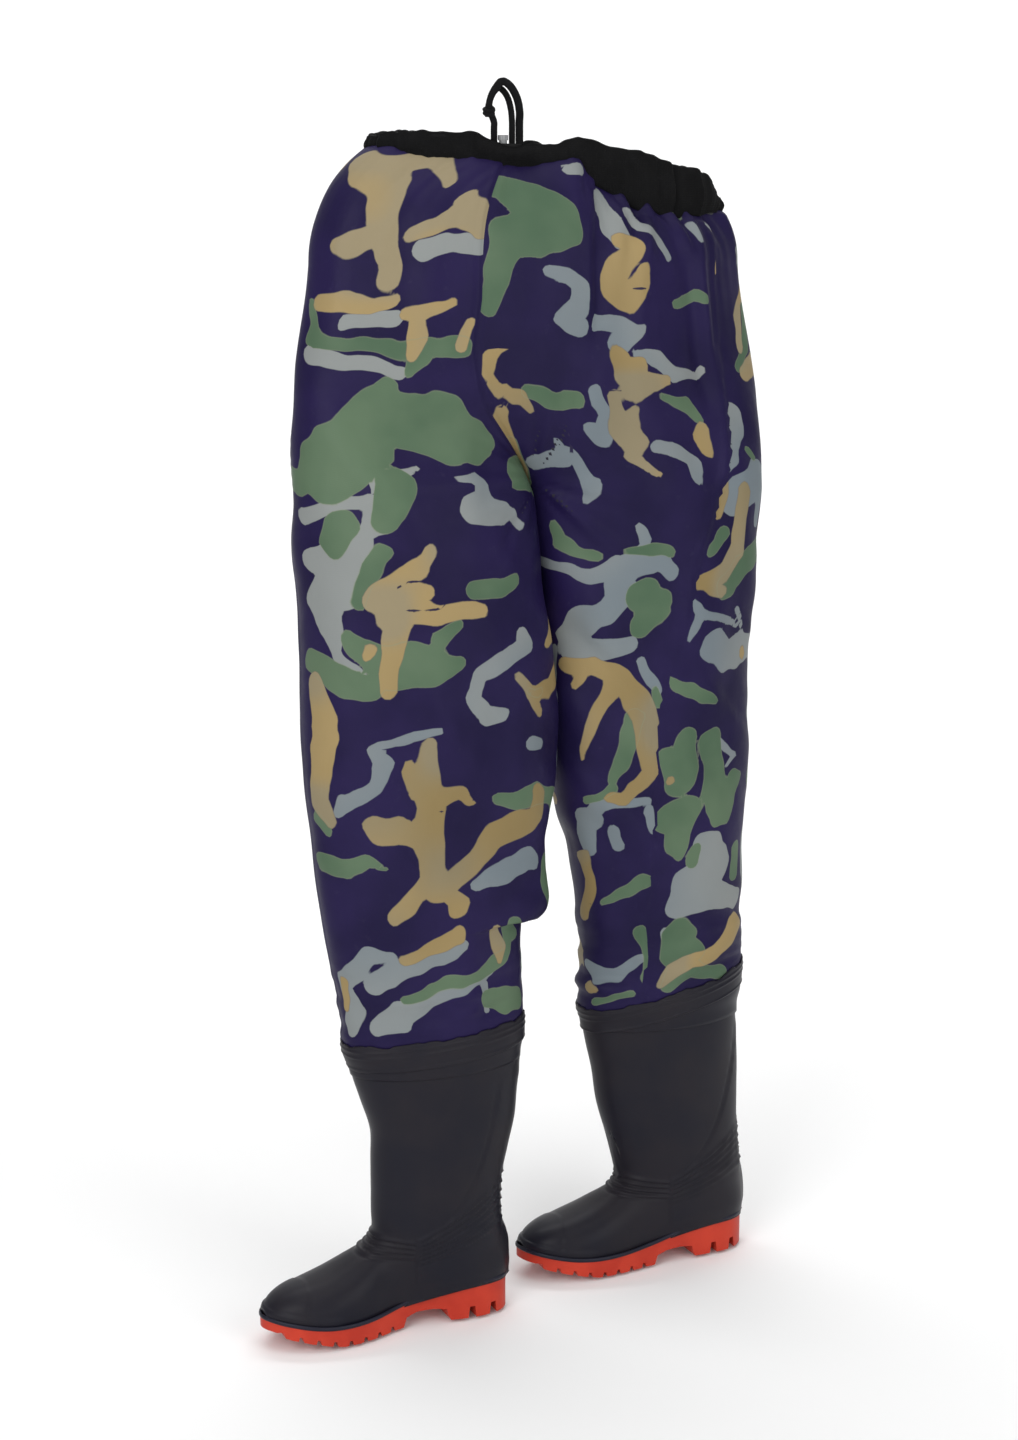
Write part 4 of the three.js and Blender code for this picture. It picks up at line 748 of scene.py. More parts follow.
    (4, 0, [(-282.7, 785, 10.9), (-300.2, 766.7, 13), (-325.9, 753.1, 16)]),
    (4, 0, [(-300.2, 766.7, 13), (-272.4, 778, 7.8)]),
    (4, 1, [(-264.7, 870, 11.4), (-261.9, 844.9, 10.3), (-239.5, 816.5, 13.6)]),
    (0, 2, [(331.6, 715, 12.6), (300.5, 700.1, 8.7), (267.4, 703.6, 7.3), (251.2, 723, 4.9)]),
    (0, 2, [(267.4, 703.6, 7.3), (285.2, 679.5, 4.4)]),
    (4, 2, [(-297, 480, 16.1), (-309.4, 515.2, 18.2), (-311, 535.5, 18.7), (-296.4, 567.7, 21.4)]),
    (4, 2, [(-311, 535.5, 18.7), (-283.6, 523.4, 11.2)]),
    (4, 0, [(-41.2, 1150, 16.1), (-57.8, 1180.6, 13.5), (-56.7, 1212.8, 12.5), (-61.4, 1234.2, 12.2), (-60.4, 1264.1, 12)]),
    (4, 2, [(-31, 550, 11.9), (-9.6, 565.2, 9.6), (-6.1, 600.1, 9.2), (2.1, 618.6, 11), (23.9, 638.1, 12)]),
    (4, 0, [(-105.2, 665, 15.6), (-81.4, 679.1, 19), (-73.8, 697.9, 21), (-77.5, 718, 19.1), (-95.9, 740.4, 22.2)]),
    (4, 2, [(-160.5, 530, 12.7), (-149.9, 502.8, 13.7), (-144.9, 466, 10.8), (-129.3, 441.8, 14.5), (-100.5, 436.6, 16.6)]),
    (4, 0, [(-136.4, 1095, 8.1), (-116.5, 1108.2, 9.8), (-82.7, 1109.6, 13.3)]),
    (4, 1, [(-348.8, 660, 15.3), (-330.3, 671.5, 17), (-304.9, 680.8, 19.6), (-269.6, 678.8, 23.6), (-244.8, 700.9, 22.3)]),
    (4, 1, [(-24, 695, 8.8), (-22.2, 722.7, 5.9), (-13.6, 744.5, 5)]),
    (4, 0, [(-245.1, 720, 9.5), (-239.6, 695.9, 9.1), (-232.8, 668.8, 12.9), (-204.8, 648.5, 14.8)]),
    (4, 0, [(-232.8, 668.8, 12.9), (-208.9, 650.7, 7.7)]),
    (0, 2, [(335.6, 780, 10.8), (321.6, 765, 9.7), (303.6, 750.4, 6)]),
    (0, 2, [(321.6, 765, 9.7), (345.6, 747, 5.8)]),
    (4, 0, [(-232, 470, 11.1), (-204.8, 454.6, 10.7), (-186, 441.7, 7.7), (-173.5, 407.2, 9)]),
    (4, 0, [(-186, 441.7, 7.7), (-215.3, 435.4, 4.6)]),
    (4, 0, [(-172.3, 790, 10.6), (-202.4, 794.9, 7.2), (-219.1, 780, 4), (-222, 753.6, 4), (-240.2, 724.2, 4)]),
    (4, 0, [(-162, 1237.9, 15.5), (-184.2, 1232.2, 14), (-213.2, 1238, 10.9)]),
    (4, 0, [(-184.2, 1232.2, 14), (-158.4, 1216.9, 8.4)]),
    (4, 0, [(-36.3, 1239.8, 8.4), (-71.6, 1252, 9.9), (-92.9, 1268, 13.6), (-101.5, 1287.7, 12.7), (-120.3, 1317.4, 12)]),
    (4, 1, [(-41.9, 340.8, 16.8), (-13.1, 346.1, 20.7), (8.7, 341.1, 17.4), (22.3, 313.2, 16.2), (42.8, 300.8, 16.6)]),
    (0, 1, [(266.1, 395.2, 15.8), (298.7, 379.8, 16.9), (323, 352.3, 17.4), (356.5, 344, 18.8)]),
    (0, 1, [(291.7, 460.6, 14.3), (286, 484.8, 14.6), (295, 504.4, 11.5)]),
    (0, 1, [(286, 484.8, 14.6), (291.8, 455.4, 8.8)]),
    (0, 0, [(340.1, 615, 12), (351.7, 637, 8.8), (348.9, 663, 4.8), (337.6, 686.3, 6.7)]),
    (4, 1, [(-248.3, 340.8, 12.7), (-237.6, 310.7, 9.1), (-256.8, 279.1, 7.4), (-277.1, 274.8, 8.4), (-292.3, 249.7, 6.1)]),
    (4, 1, [(-317, 595, 14.2), (-318.4, 632, 15.6), (-319.3, 666.1, 17.7), (-302, 688.5, 14.4), (-285.4, 719.9, 16.3)]),
    (4, 2, [(-82.7, 915, 13.9), (-58.4, 886.5, 15.1), (-35.3, 857.4, 14.7), (-32.2, 837.6, 17)]),
    (4, 2, [(-277.6, 935, 16.1), (-246.8, 914.4, 15.7), (-223.9, 902.1, 15), (-192.6, 889.9, 11.4)]),
    (4, 2, [(-52.1, 1085, 12.8), (-65.5, 1062.3, 13.5), (-86.5, 1059.3, 10.2), (-116, 1055, 11.7), (-145.9, 1053.2, 10)]),
    (0, 1, [(-8.7, 930, 15.4), (13.1, 930.1, 12.8), (39.4, 935.2, 9.7), (59, 953.4, 6.3), (80, 954.1, 4)]),
    (0, 1, [(39.4, 935.2, 9.7), (9.8, 940.2, 5.8)]),
    (4, 0, [(-179.2, 610, 16.3), (-206.5, 603.6, 16.2), (-235.1, 611.6, 13.7)]),
    (4, 0, [(-206.5, 603.6, 16.2), (-179, 591.7, 9.7)]),
    (4, 1, [(-227.4, 402, 16.8), (-213.6, 372.6, 17.9), (-195.9, 359.9, 17.2)]),
    (4, 2, [(-242, 1070, 14.3), (-233.5, 1094.9, 16.9), (-242.6, 1125, 15.1)]),
    (4, 2, [(-233.5, 1094.9, 16.9), (-255.2, 1074.2, 10.1)]),
    (4, 0, [(-219, 1181.3, 12.7), (-237.3, 1152.4, 10.8), (-253.6, 1140.1, 7.8), (-275, 1138.9, 7.1)]),
    (4, 1, [(-140.4, 995, 15.5), (-170.2, 1001.4, 18.5), (-200.4, 1023.4, 15.8), (-230, 1029.1, 13.4), (-252.2, 1050.9, 9.9)]),
    (0, 1, [(320.4, 555, 10), (309.8, 578, 13.8), (276.5, 589.6, 10.8), (249.5, 584.8, 10.2), (224.9, 590.2, 7.8)]),
    (4, 1, [(-330.5, 875, 14.2), (-306.7, 903.1, 14.7), (-303.5, 940.4, 15.1), (-322.6, 971.7, 14.5)]),
    (4, 2, [(-231.1, 570, 16.6), (-252.7, 573.5, 19.2), (-276, 575.8, 20.3), (-299.2, 564.9, 22.1)]),
    (0, 2, [(27.5, 1249.6, 12.7), (-0.2, 1255.1, 10.5), (-23.8, 1251.5, 11.3), (-57.6, 1254, 8.3), (-76.7, 1276, 5.8)]),
    (0, 2, [(-23.8, 1251.5, 11.3), (2.8, 1237.6, 6.8)]),
    (4, 2, [(-91.2, 575, 13.2), (-75.9, 547.3, 15.7), (-75.3, 517.4, 13.6), (-53, 497, 11.3), (-26.8, 471.3, 12.8)]),
    (4, 2, [(-75.3, 517.4, 13.6), (-103.8, 526.9, 8.2)]),
    (4, 1, [(-96.9, 1040, 16.2), (-83.7, 1007, 19), (-83.6, 979, 20.5)]),
    (4, 1, [(-192.2, 935, 9.1), (-200.3, 961.5, 8.9), (-220.6, 993, 6.8)]),
    (0, 1, [(335, 910, 15.7), (315.6, 924.4, 13.9), (280.9, 934.3, 15.9)]),
    (3, 0, [(-242.6, 835, 9.3), (-262.6, 824.3, 10.7), (-287.6, 804.6, 13.4), (-298.7, 782.2, 13), (-306.5, 759, 13.2)]),
    (3, 0, [(-287.6, 804.6, 13.4), (-259.2, 814.3, 8)]),
    (3, 2, [(-48.1, 394.4, 10.4), (-56.4, 364.2, 7.6), (-78.6, 352.8, 9.5), (-111, 343.9, 11.6)]),
    (3, 0, [(-278.6, 755, 8.7), (-300.1, 754.1, 9.9), (-324.7, 733.4, 9.3), (-347.5, 712.4, 9.5)]),
    (3, 0, [(-324.7, 733.4, 9.3), (-337.3, 760.6, 5.6)]),
    (3, 1, [(-103.6, 635, 14.7), (-86.4, 617.8, 17.6), (-57.8, 616.6, 18.2), (-36, 595, 19.4)]),
    (3, 1, [(-174, 845, 14.4), (-144.1, 841.9, 18.3), (-113, 832.9, 17.4), (-94.6, 802.8, 13.5)]),
    (3, 1, [(-113, 832.9, 17.4), (-133.2, 810.7, 10.4)]),
    (3, 0, [(-268.7, 1229.4, 14.6), (-270.6, 1194.5, 15.3), (-264.4, 1163.9, 17.2), (-242.9, 1148.9, 19.9), (-214.8, 1136.6, 18.4)]),
    (3, 0, [(-145.6, 1100, 11.3), (-124.1, 1127.6, 11.5), (-93, 1145.7, 8.4), (-60.5, 1136.9, 9.8)]),
    (3, 1, [(-31.6, 555, 15.2), (-0, 569.5, 18.3), (20.2, 574.2, 16)]),
    (3, 2, [(-86.2, 795, 12.2), (-71.3, 819.9, 11.7), (-65.7, 842, 13.6)]),
    (3, 2, [(-71.3, 819.9, 11.7), (-99.8, 829.2, 7)]),
    (3, 0, [(-35.8, 460, 11.2), (-11, 462.1, 8.3), (16, 476.4, 10.9), (21.2, 496.6, 14.2)]),
    (3, 2, [(-218.6, 700, 13.2), (-212.1, 672.3, 13.2), (-206.6, 650.4, 12), (-185.8, 621.5, 14.6)]),
    (3, 0, [(-26.6, 1150, 11.3), (-58.6, 1152.4, 10.7), (-84.5, 1161.7, 10.2)]),
    (3, 0, [(-285.1, 660, 11), (-301.8, 687.8, 7.7), (-323.2, 703.3, 8.2)]),
    (3, 0, [(-23.8, 302, 9.3), (-43.3, 315.5, 9.2), (-55.7, 335.4, 11.4), (-69.3, 361.1, 14.4)]),
    (3, 1, [(-220, 350.2, 11.7), (-194.9, 337.8, 8.9), (-157.7, 340.4, 11.2)]),
    (3, 1, [(-194.9, 337.8, 8.9), (-165.7, 344.6, 5.3)]),
    (3, 2, [(-72.5, 1105, 10), (-35.8, 1112.8, 7.1), (-9.9, 1109.2, 4.5), (1, 1090.9, 7.5), (7.1, 1061.3, 7.3)]),
    (3, 2, [(-9.9, 1109.2, 4.5), (-27.7, 1133.4, 2.7)]),
    (3, 2, [(-282.4, 885, 16.5), (-293.6, 864.2, 18.5), (-295.1, 840, 20.6)]),
    (3, 2, [(-293.6, 864.2, 18.5), (-320.7, 851.4, 11.1)]),
    (3, 0, [(-105.9, 1203.5, 11.6), (-91.6, 1189.2, 9.4), (-63.7, 1180.1, 6.2)]),
    (2, 0, [(364.9, 910, 10.8), (369.3, 880.9, 7.1), (376.5, 844.8, 8.2), (401, 818.1, 8), (428.9, 805.7, 11.1)]),
    (2, 0, [(376.5, 844.8, 8.2), (348.6, 855.8, 4.9)]),
    (3, 1, [(-173.8, 585, 14.9), (-207.6, 572.9, 14), (-229.8, 559.3, 16.2), (-252.4, 551.7, 12.5)]),
    (3, 1, [(-229.8, 559.3, 16.2), (-210.8, 536.1, 9.7)]),
    (3, 2, [(-29, 875, 15.7), (-7.4, 887.5, 13.3), (19.7, 878.4, 10), (34.3, 860.6, 7.2)]),
    (3, 2, [(19.7, 878.4, 10), (10.7, 907, 6)]),
    (3, 1, [(-283.3, 1150, 9.8), (-263.6, 1167.6, 10.8), (-249.1, 1187, 11.2), (-249.8, 1207.7, 7.8)]),
    (3, 0, [(24.4, 915, 14.9), (48.4, 920.3, 17.8), (79.9, 911.6, 17.9), (109.4, 900.1, 18.1)]),
    (3, 1, [(-22.7, 800, 8.4), (8.8, 813.4, 4.6), (25.8, 827.6, 4), (54.6, 828.2, 5.9), (82.3, 808.6, 5)]),
    (3, 1, [(-313.7, 1030, 9.6), (-308.5, 1059.1, 11.4), (-303, 1086.2, 12.5), (-314, 1120.6, 14.8)]),
    (3, 1, [(-303, 1086.2, 12.5), (-309.4, 1115.5, 7.5)]),
    (3, 1, [(-141.8, 411.4, 8.7), (-124.5, 399.9, 5.5), (-104.9, 375.3, 4)]),
    (3, 1, [(-124.5, 399.9, 5.5), (-96.5, 410.6, 3.3)]),
    (3, 1, [(-328.5, 960, 12.6), (-297.3, 947.5, 10.7), (-269.8, 948.4, 6.8)]),
    (3, 2, [(-214.9, 775, 14), (-185.7, 769.3, 12.4), (-167.3, 749, 11.8), (-166.9, 725.1, 11.9)]),
    (3, 2, [(-167.3, 749, 11.8), (-183.5, 723.8, 7.1)]),
    (3, 2, [(-254.2, 945, 11.1), (-274.5, 940, 10.6), (-303.1, 940.9, 11), (-326.6, 935.3, 13.1)]),
    (3, 2, [(-303.1, 940.9, 11), (-309.8, 970.1, 6.6)]),
    (3, 2, [(-45.7, 955, 14.7), (-56.4, 975.1, 16.8), (-84.5, 994.5, 16.1), (-116.3, 1002.1, 18.1), (-127.5, 1021.9, 16.2)]),
    (3, 2, [(-84.5, 994.5, 16.1), (-74.1, 966.3, 9.7)]),
    (3, 0, [(-201.8, 485, 12.7), (-216.9, 518.8, 11), (-245.8, 534.1, 12.3)]),
    (3, 2, [(-116.3, 710, 10.5), (-110.3, 686.7, 12.8), (-114.5, 649.6, 14.8), (-92.9, 618.5, 11.6), (-65.7, 592.1, 12.3)]),
    (3, 0, [(-197.1, 1168.5, 11.4), (-199, 1132.4, 13.1), (-191.1, 1103, 9.1), (-200.5, 1076.5, 5.6)]),
    (3, 0, [(-191.1, 1103, 9.1), (-191.3, 1073, 5.5)]),
    (3, 1, [(-319.5, 1095, 10), (-343.1, 1100, 6.7), (-379.9, 1104.3, 6.4), (-402.1, 1115.2, 4)]),
    (3, 1, [(-379.9, 1104.3, 6.4), (-356.9, 1085, 3.8)]),
    (3, 2, [(-223, 1005, 14.8), (-210.9, 1028.4, 12.9), (-204.4, 1054.8, 9.6), (-180.4, 1077.1, 7.9)]),
    (3, 2, [(-100.7, 500, 15.2), (-126, 480.2, 17.1), (-137.4, 458.9, 16.8)]),
    (3, 2, [(-126, 480.2, 17.1), (-145.6, 457.5, 10.3)]),
    (3, 0, [(-95.7, 323, 13.4), (-110, 302.6, 10.8), (-126.5, 279.5, 14.3), (-135.4, 247, 11.9)]),
    (2, 1, [(59.5, 1207, 9.5), (70, 1227.1, 10.8), (81.8, 1247.8, 8.5)]),
    (2, 1, [(70, 1227.1, 10.8), (43.1, 1240.3, 6.5)]),
    (3, 0, [(-164.4, 935, 14), (-146.6, 924.7, 13.3), (-141.9, 893.4, 12.3)]),
    (3, 0, [(-146.6, 924.7, 13.3), (-157.7, 896.8, 8)]),
    (3, 2, [(-20.8, 645, 12.1), (-46, 662.7, 9.9), (-53.8, 691.6, 11.4), (-64.3, 716.6, 9.5)]),
    (3, 2, [(-244.9, 555, 9.5), (-223.9, 557.9, 11.2), (-199.3, 573.9, 9.2)]),
    (3, 2, [(-112.1, 1045, 13.4), (-84.8, 1062.3, 12.8), (-60.1, 1065.2, 10.9), (-28.2, 1084.9, 7.5)]),
    (3, 0, [(12.9, 705, 16.6), (32.1, 725.6, 13.9), (62.3, 727.6, 16.4), (92.7, 720.2, 14.8), (120.5, 739.8, 16.8)]),
    (3, 0, [(22.1, 490, 15.6), (16, 467.7, 18.6), (7.4, 439.1, 19.3)]),
    (3, 2, [(-229.9, 425, 8.7), (-229.2, 392.7, 8.3), (-252, 373.3, 7.6), (-268, 360.3, 5.8)]),
    (3, 2, [(-252, 373.3, 7.6), (-226.6, 357.4, 4.6)]),
    (3, 0, [(13.7, 384.2, 11.7), (-23, 388.2, 10.9), (-39.6, 408.9, 7.8), (-63.8, 422, 9.8), (-90.9, 427.9, 9.7)]),
    (3, 0, [(-39.6, 408.9, 7.8), (-46.3, 379.7, 4.7)]),
    (3, 0, [(-250.4, 1070, 16.1), (-273.5, 1050.3, 12.7), (-308.1, 1038.8, 12), (-324.5, 1019.1, 10.5)]),
    (3, 0, [(-308.1, 1038.8, 12), (-338, 1041.4, 7.2)]),
    (3, 2, [(-105.1, 980, 16.5), (-131.6, 972.6, 18.3), (-144.9, 952.2, 17.6), (-166.4, 940.5, 17.7)]),
    (3, 1, [(32.8, 840, 12.2), (61.6, 837.1, 10.4), (87.1, 823.2, 11.4), (102.7, 805.2, 14.7)]),
    (3, 1, [(-156.2, 302, 9.2), (-150.6, 324.7, 12.2), (-149, 357.9, 9.9)]),
    (3, 1, [(-150.6, 324.7, 12.2), (-150.6, 354.7, 7.3)]),
    (3, 2, [(-311.5, 810, 11.7), (-341.4, 826.4, 13.6), (-357.2, 853, 14.2), (-361.7, 890, 10.7)]),
    (3, 2, [(-357.2, 853, 14.2), (-374.6, 828.5, 8.5)]),
    (3, 2, [(-226.3, 620, 13), (-260.4, 604.4, 10.3), (-268.3, 583.2, 9.8), (-279.8, 565.7, 12)]),
    (3, 1, [(-97.4, 885, 9), (-133.3, 888.3, 8.2), (-170.8, 889.9, 9.2), (-196.3, 885.3, 12), (-230.2, 879.3, 12.7)]),
    (3, 2, [(-163.1, 655, 16.8), (-181, 664.6, 18.2), (-205.7, 690.3, 16.5)]),
    (3, 2, [(-51.5, 1030, 12.5), (-20.5, 1041.8, 13), (8.7, 1033.3, 9.5)]),
    (3, 1, [(-51.4, 700, 9.8), (-17.9, 695.8, 13.6), (13.9, 699.1, 12.4)]),
    (3, 0, [(16.3, 595, 15.1), (8.9, 615.9, 15.6), (21.1, 645.8, 17.3)]),
    (3, 2, [(-147.7, 775, 11.2), (-131.1, 749.5, 7.3), (-112.2, 728.8, 9.3)]),
    (3, 2, [(-131.1, 749.5, 7.3), (-103.1, 760.4, 4.4)]),
]


def print_fields(side, P, S, PH, Z):
    """distance fields of the print's colours, (n, 4) in mm, negative inside"""
    p, q, ph = S.ravel(), P[..., 2].ravel(), PH.ravel()
    pts = np.stack([p, q, np.zeros_like(p) + (0 if side == "right" else 400)], -1)
    p = p + 3.0 * noise3(pts, 34.0, 21) + 1.6 * noise3(pts, 13.0, 22)
    q = q + 3.0 * noise3(pts, 34.0, 23) + 1.6 * noise3(pts, 13.0, 24)
    if side == "right":
        panel = np.where(ph > RIGHT_SEAM_PHI, 0, 4)
    else:
        seam = table(LEFT_SEAM, Z.ravel())
        panel = np.where(ph < seam, 3, np.where((ph > FOLD_PHI) & (P[..., 2].ravel() > 1068), 1, 2))
    F = np.full((len(p), 4), 30.0)
    for k in range(5):
        sel = np.nonzero(panel == k)[0]
        if not len(sel):
            continue
        pp, qq = p[sel], q[sel]
        for pan, colour, pts_ in STROKES:
            if pan != k:
                continue
            best = np.full(len(sel), 1e9)
            for (a, b) in zip(pts_[:-1], pts_[1:]):
                ax, ay, ar = a
                bx, by, br = b
                dx, dy = bx - ax, by - ay
                L2 = dx * dx + dy * dy + 1e-9
                t = np.clip(((pp - ax) * dx + (qq - ay) * dy) / L2, 0, 1)
                best = np.minimum(best, np.hypot(pp - ax - t * dx, qq - ay - t * dy) - (ar + (br - ar) * t))
            f = F[sel, colour]
            kk = 3.5
            hh = np.clip(0.5 + 0.5 * (best - f) / kk, 0, 1)
            F[sel, colour] = best + (f - best) * hh - kk * hh * (1 - hh)
    return np.clip(F, -25, 30)



def fabric_piece(name, parts, rims):
    """one mesh from strips of the two legs: parts is [(side, first row, last row)]; rims lists the sides' strip ends to close"""
    verts, normals, faces, mats, cols = [], [], [], [], []
    base = 0
    wall = 0.7
    for side, r0, r1 in parts:
        L = LEG[side]
        Q, NN = L["Q"][r0:r1 + 1], L["QN"][r0:r1 + 1]
        nr, nc = Q.shape[:2]
        flip = side == "right"
        fo = grid_faces(nr, nc, flip=flip, base=base)
        fi = grid_faces(nr, nc, flip=not flip, base=base + nr * nc)
        verts += [Q.reshape(-1, 3), (Q - NN * wall).reshape(-1, 3)]
        normals += [NN.reshape(-1, 3), -NN.reshape(-1, 3)]
        faces += [fo, fi]
        mats += [np.zeros(len(fo), int), np.ones(len(fi), int)]
        cols += [L["F"][r0:r1 + 1].reshape(-1, 4), np.full((nr * nc, 4), 30.0)]
        for end in rims:
            r = 0 if end == "top" else nr - 1
            i = np.arange(nc - 1)
            a, b = base + r * nc + i, base + r * nc + i + 1
            c, d = b + nr * nc, a + nr * nc
            f = np.stack([a, b, c, d], -1)
            if (end == "top") != flip:
                f = f[:, ::-1]
            faces.append(f)
            mats.append(np.ones(len(f), int))
        base += 2 * nr * nc
    V, NV = np.concatenate(verts), np.concatenate(normals)
    Fc, Mt, C = np.concatenate(faces), np.concatenate(mats), np.concatenate(cols)
    # weld coincident points
    key = np.round(V * 50).astype(np.int64)
    _, first, inv = np.unique(key, axis=0, return_index=True, return_inverse=True)
    inv = inv.ravel()
    acc = np.zeros((len(first), 3))
    np.add.at(acc, inv, NV)
    acc /= np.maximum(np.linalg.norm(acc, axis=1, keepdims=True), 1e-9)
    F2 = inv[Fc]
    good = (F2[:, 0] != F2[:, 1]) & (F2[:, 1] != F2[:, 2]) & (F2[:, 2] != F2[:, 3]) & (F2[:, 3] != F2[:, 0])
    F2, Mt, Fc = F2[good], Mt[good], Fc[good]
    ob = make_object(name, V[first], F2, [MAT["camo"], MAT["inner"]], Mt)
    me = ob.data
    at = me.attributes.new("print", "FLOAT_COLOR", "CORNER")
    at.data.foreach_set("color", C[Fc.ravel()].astype(np.float32).ravel())
    fd = me.attributes.new("fade", "FLOAT", "POINT")
    fd.data.foreach_set("value", np.clip(0.5 + 0.9 * noise3(V[first], (70, 70, 70), 31), 0, 1).astype(np.float32) ** 2)
    me.normals_split_custom_set_from_vertices(acc.tolist())
    return ob


def finish_grid_normals():
    for side in ("right", "left"):
        L = LEG[side]
        n = grid_normals(L["Q"])
        C = L["Q"].mean(1, keepdims=True)
        n *= np.sign(((L["Q"] - C) * n).sum(-1).sum())
        L["QN"] = n
    R, Lf = LEG["right"], LEG["left"]
    for side in ("right", "left"):
        L = LEG[side]
        cl = L["rows"] <= CROTCH + 0.1
        m = L["QN"][:, 0] + L["QN"][:, -1]
        m /= np.linalg.norm(m, axis=-1, keepdims=True)
        L["QN"][cl, 0] = L["QN"][cl, -1] = m[cl]
    for col in (0, -1):
        m = R["QN"][:nu, col] + Lf["QN"][:nu, col]
        m /= np.maximum(np.linalg.norm(m, axis=-1, keepdims=True), 1e-9)
        R["QN"][:nu, col] = Lf["QN"][:nu, col] = m


finish_grid_normals()
for side in ("right", "left"):
    L = LEG[side]
    L["F"] = print_fields(side, L["P"], L["S"], L["PH"], L["Z"]).reshape(*L["P"].shape[:2], 4)


def row_at(side, z):
    return int(np.argmin(np.abs(LEG[side]["rows"] - z)))


seat_end = {s: row_at(s, 895.0) for s in LEG}
mid = {s: row_at(s, 640.0) for s in LEG}
seat = fabric_piece("trouser_seat", [(s, 0, seat_end[s]) for s in ("right", "left")], ["top", "bottom"])
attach(seat, "waist")
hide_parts("right_front_seat_panel", "left_front_seat_panel", "left_back_seat_panel", "right_back_seat_panel", "crotch_gusset")
for s in ("right", "left"):
    up = fabric_piece(f"{s}_upper_leg", [(s, seat_end[s], mid[s])], ["top", "bottom"])
    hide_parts(f"{s}_hip_fold", f"{s}_front_thigh_panel", f"{s}_back_thigh_panel")
    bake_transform(up)
    lo = fabric_piece(f"{s}_lower_leg", [(s, mid[s], len(LEG[s]["rows"]) - 1)], ["top", "bottom"])
    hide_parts(f"{s}_knee_fold", f"{s}_front_shin_panel", f"{s}_back_shin_panel")
    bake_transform(lo)

# ---------------------------------------------------------------- waistband
def waistband():
    N = 640
    th = np.linspace(0, 2 * np.pi, N, endpoint=False)
    x0, y0 = band_xy(th)
    top, low = table(BAND_TOP, x0), table(BAND_LOW, x0)
    # soften the tables' kinks, but keep the step beside the centre front
    k = np.ones(9) / 9
    top = np.convolve(np.concatenate([top[-8:], top, top[:8]]), k, "same")[8:-8]
    ring = lambda sc, seed: noise3(np.stack([x0, y0 * 2.0, np.zeros(N)], -1), sc, seed)
    gather = 0.65 * ring(13.0, 41) + 0.5 * ring(7.0, 42)
    sharp = np.abs(ring(10.0, 43))
    top = top + 2.4 * ring(26.0, 44) + 1.2 * ring(11.0, 45)
    low = low + 1.3 * ring(18.0, 46)
    prof = []          # (share of height, inset from the outer face, gather weight)
    K = 12
    for i in range(K + 1):
        t = i / K
        prof.append((t * 0.93, 3.2 - 3.6 * math.sin(math.pi * min(t * 1.05, 1.0)) , 0.5 + 0.5 * math.sin(math.pi * t)))
    for i in range(1, 8):
        a = math.pi * i / 8
        prof.append((0.93 + 0.07 * math.sin(a), 3.0 + 3.4 * (1 - math.cos(a)), 0.55))
    for i in range(K + 1):
        t = 1 - i / K
        prof.append((t * 0.93, 9.8 + 2.0 * math.sin(math.pi * t), 0.4))
    prof.append((-0.01, 7.0, 0.2))
    V = []
    for t, inset, gw in prof:
        seam_groove = 0.7 * math.exp(-((t - 0.16) / 0.03) ** 2) if inset < 4 else 0.0
        lap = smooth(-72, -58, x0) * (1 - smooth(-9, 6, x0)) * (y0 < BAND_C[1])      # thin ruffle standing in front of the cord lock
        d = np.where(inset > 3.4, inset + (3.4 - inset) * lap * smooth(0.1, 0.4, t), inset)
        d = d - 6.4 * lap * smooth(0.15, 0.7, t)
        d = d + seam_groove - gw * (2.3 * gather - 1.5 * sharp) * (1 - 0.7 * lap)
        x, y = BAND_C[0] + (BAND_A - d) * np.cos(th), BAND_C[1] + (BAND_B - d) * np.sin(th)
        V.append(np.stack([x, y, low + (top - low) * t], -1))
    V = np.array(V)
    R = len(prof)
    faces = grid_faces(R, N, closed=True)
    i = np.arange(N)
    i2 = (i + 1) % N
    last = np.stack([(R - 1) * N + i, (R - 1) * N + i2, i2, i], -1)
    ob = make_object("waistband_gathered_sleeve", V.reshape(-1, 3), np.concatenate([faces, last]), [MAT["band"]])
    bm = bmesh.new(); bm.from_mesh(ob.data); bmesh.ops.recalc_face_normals(bm, faces=bm.faces); bm.to_mesh(ob.data); bm.free()
    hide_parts("waistband_sleeve")
    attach(ob, "waist")
    return ob


waistband()

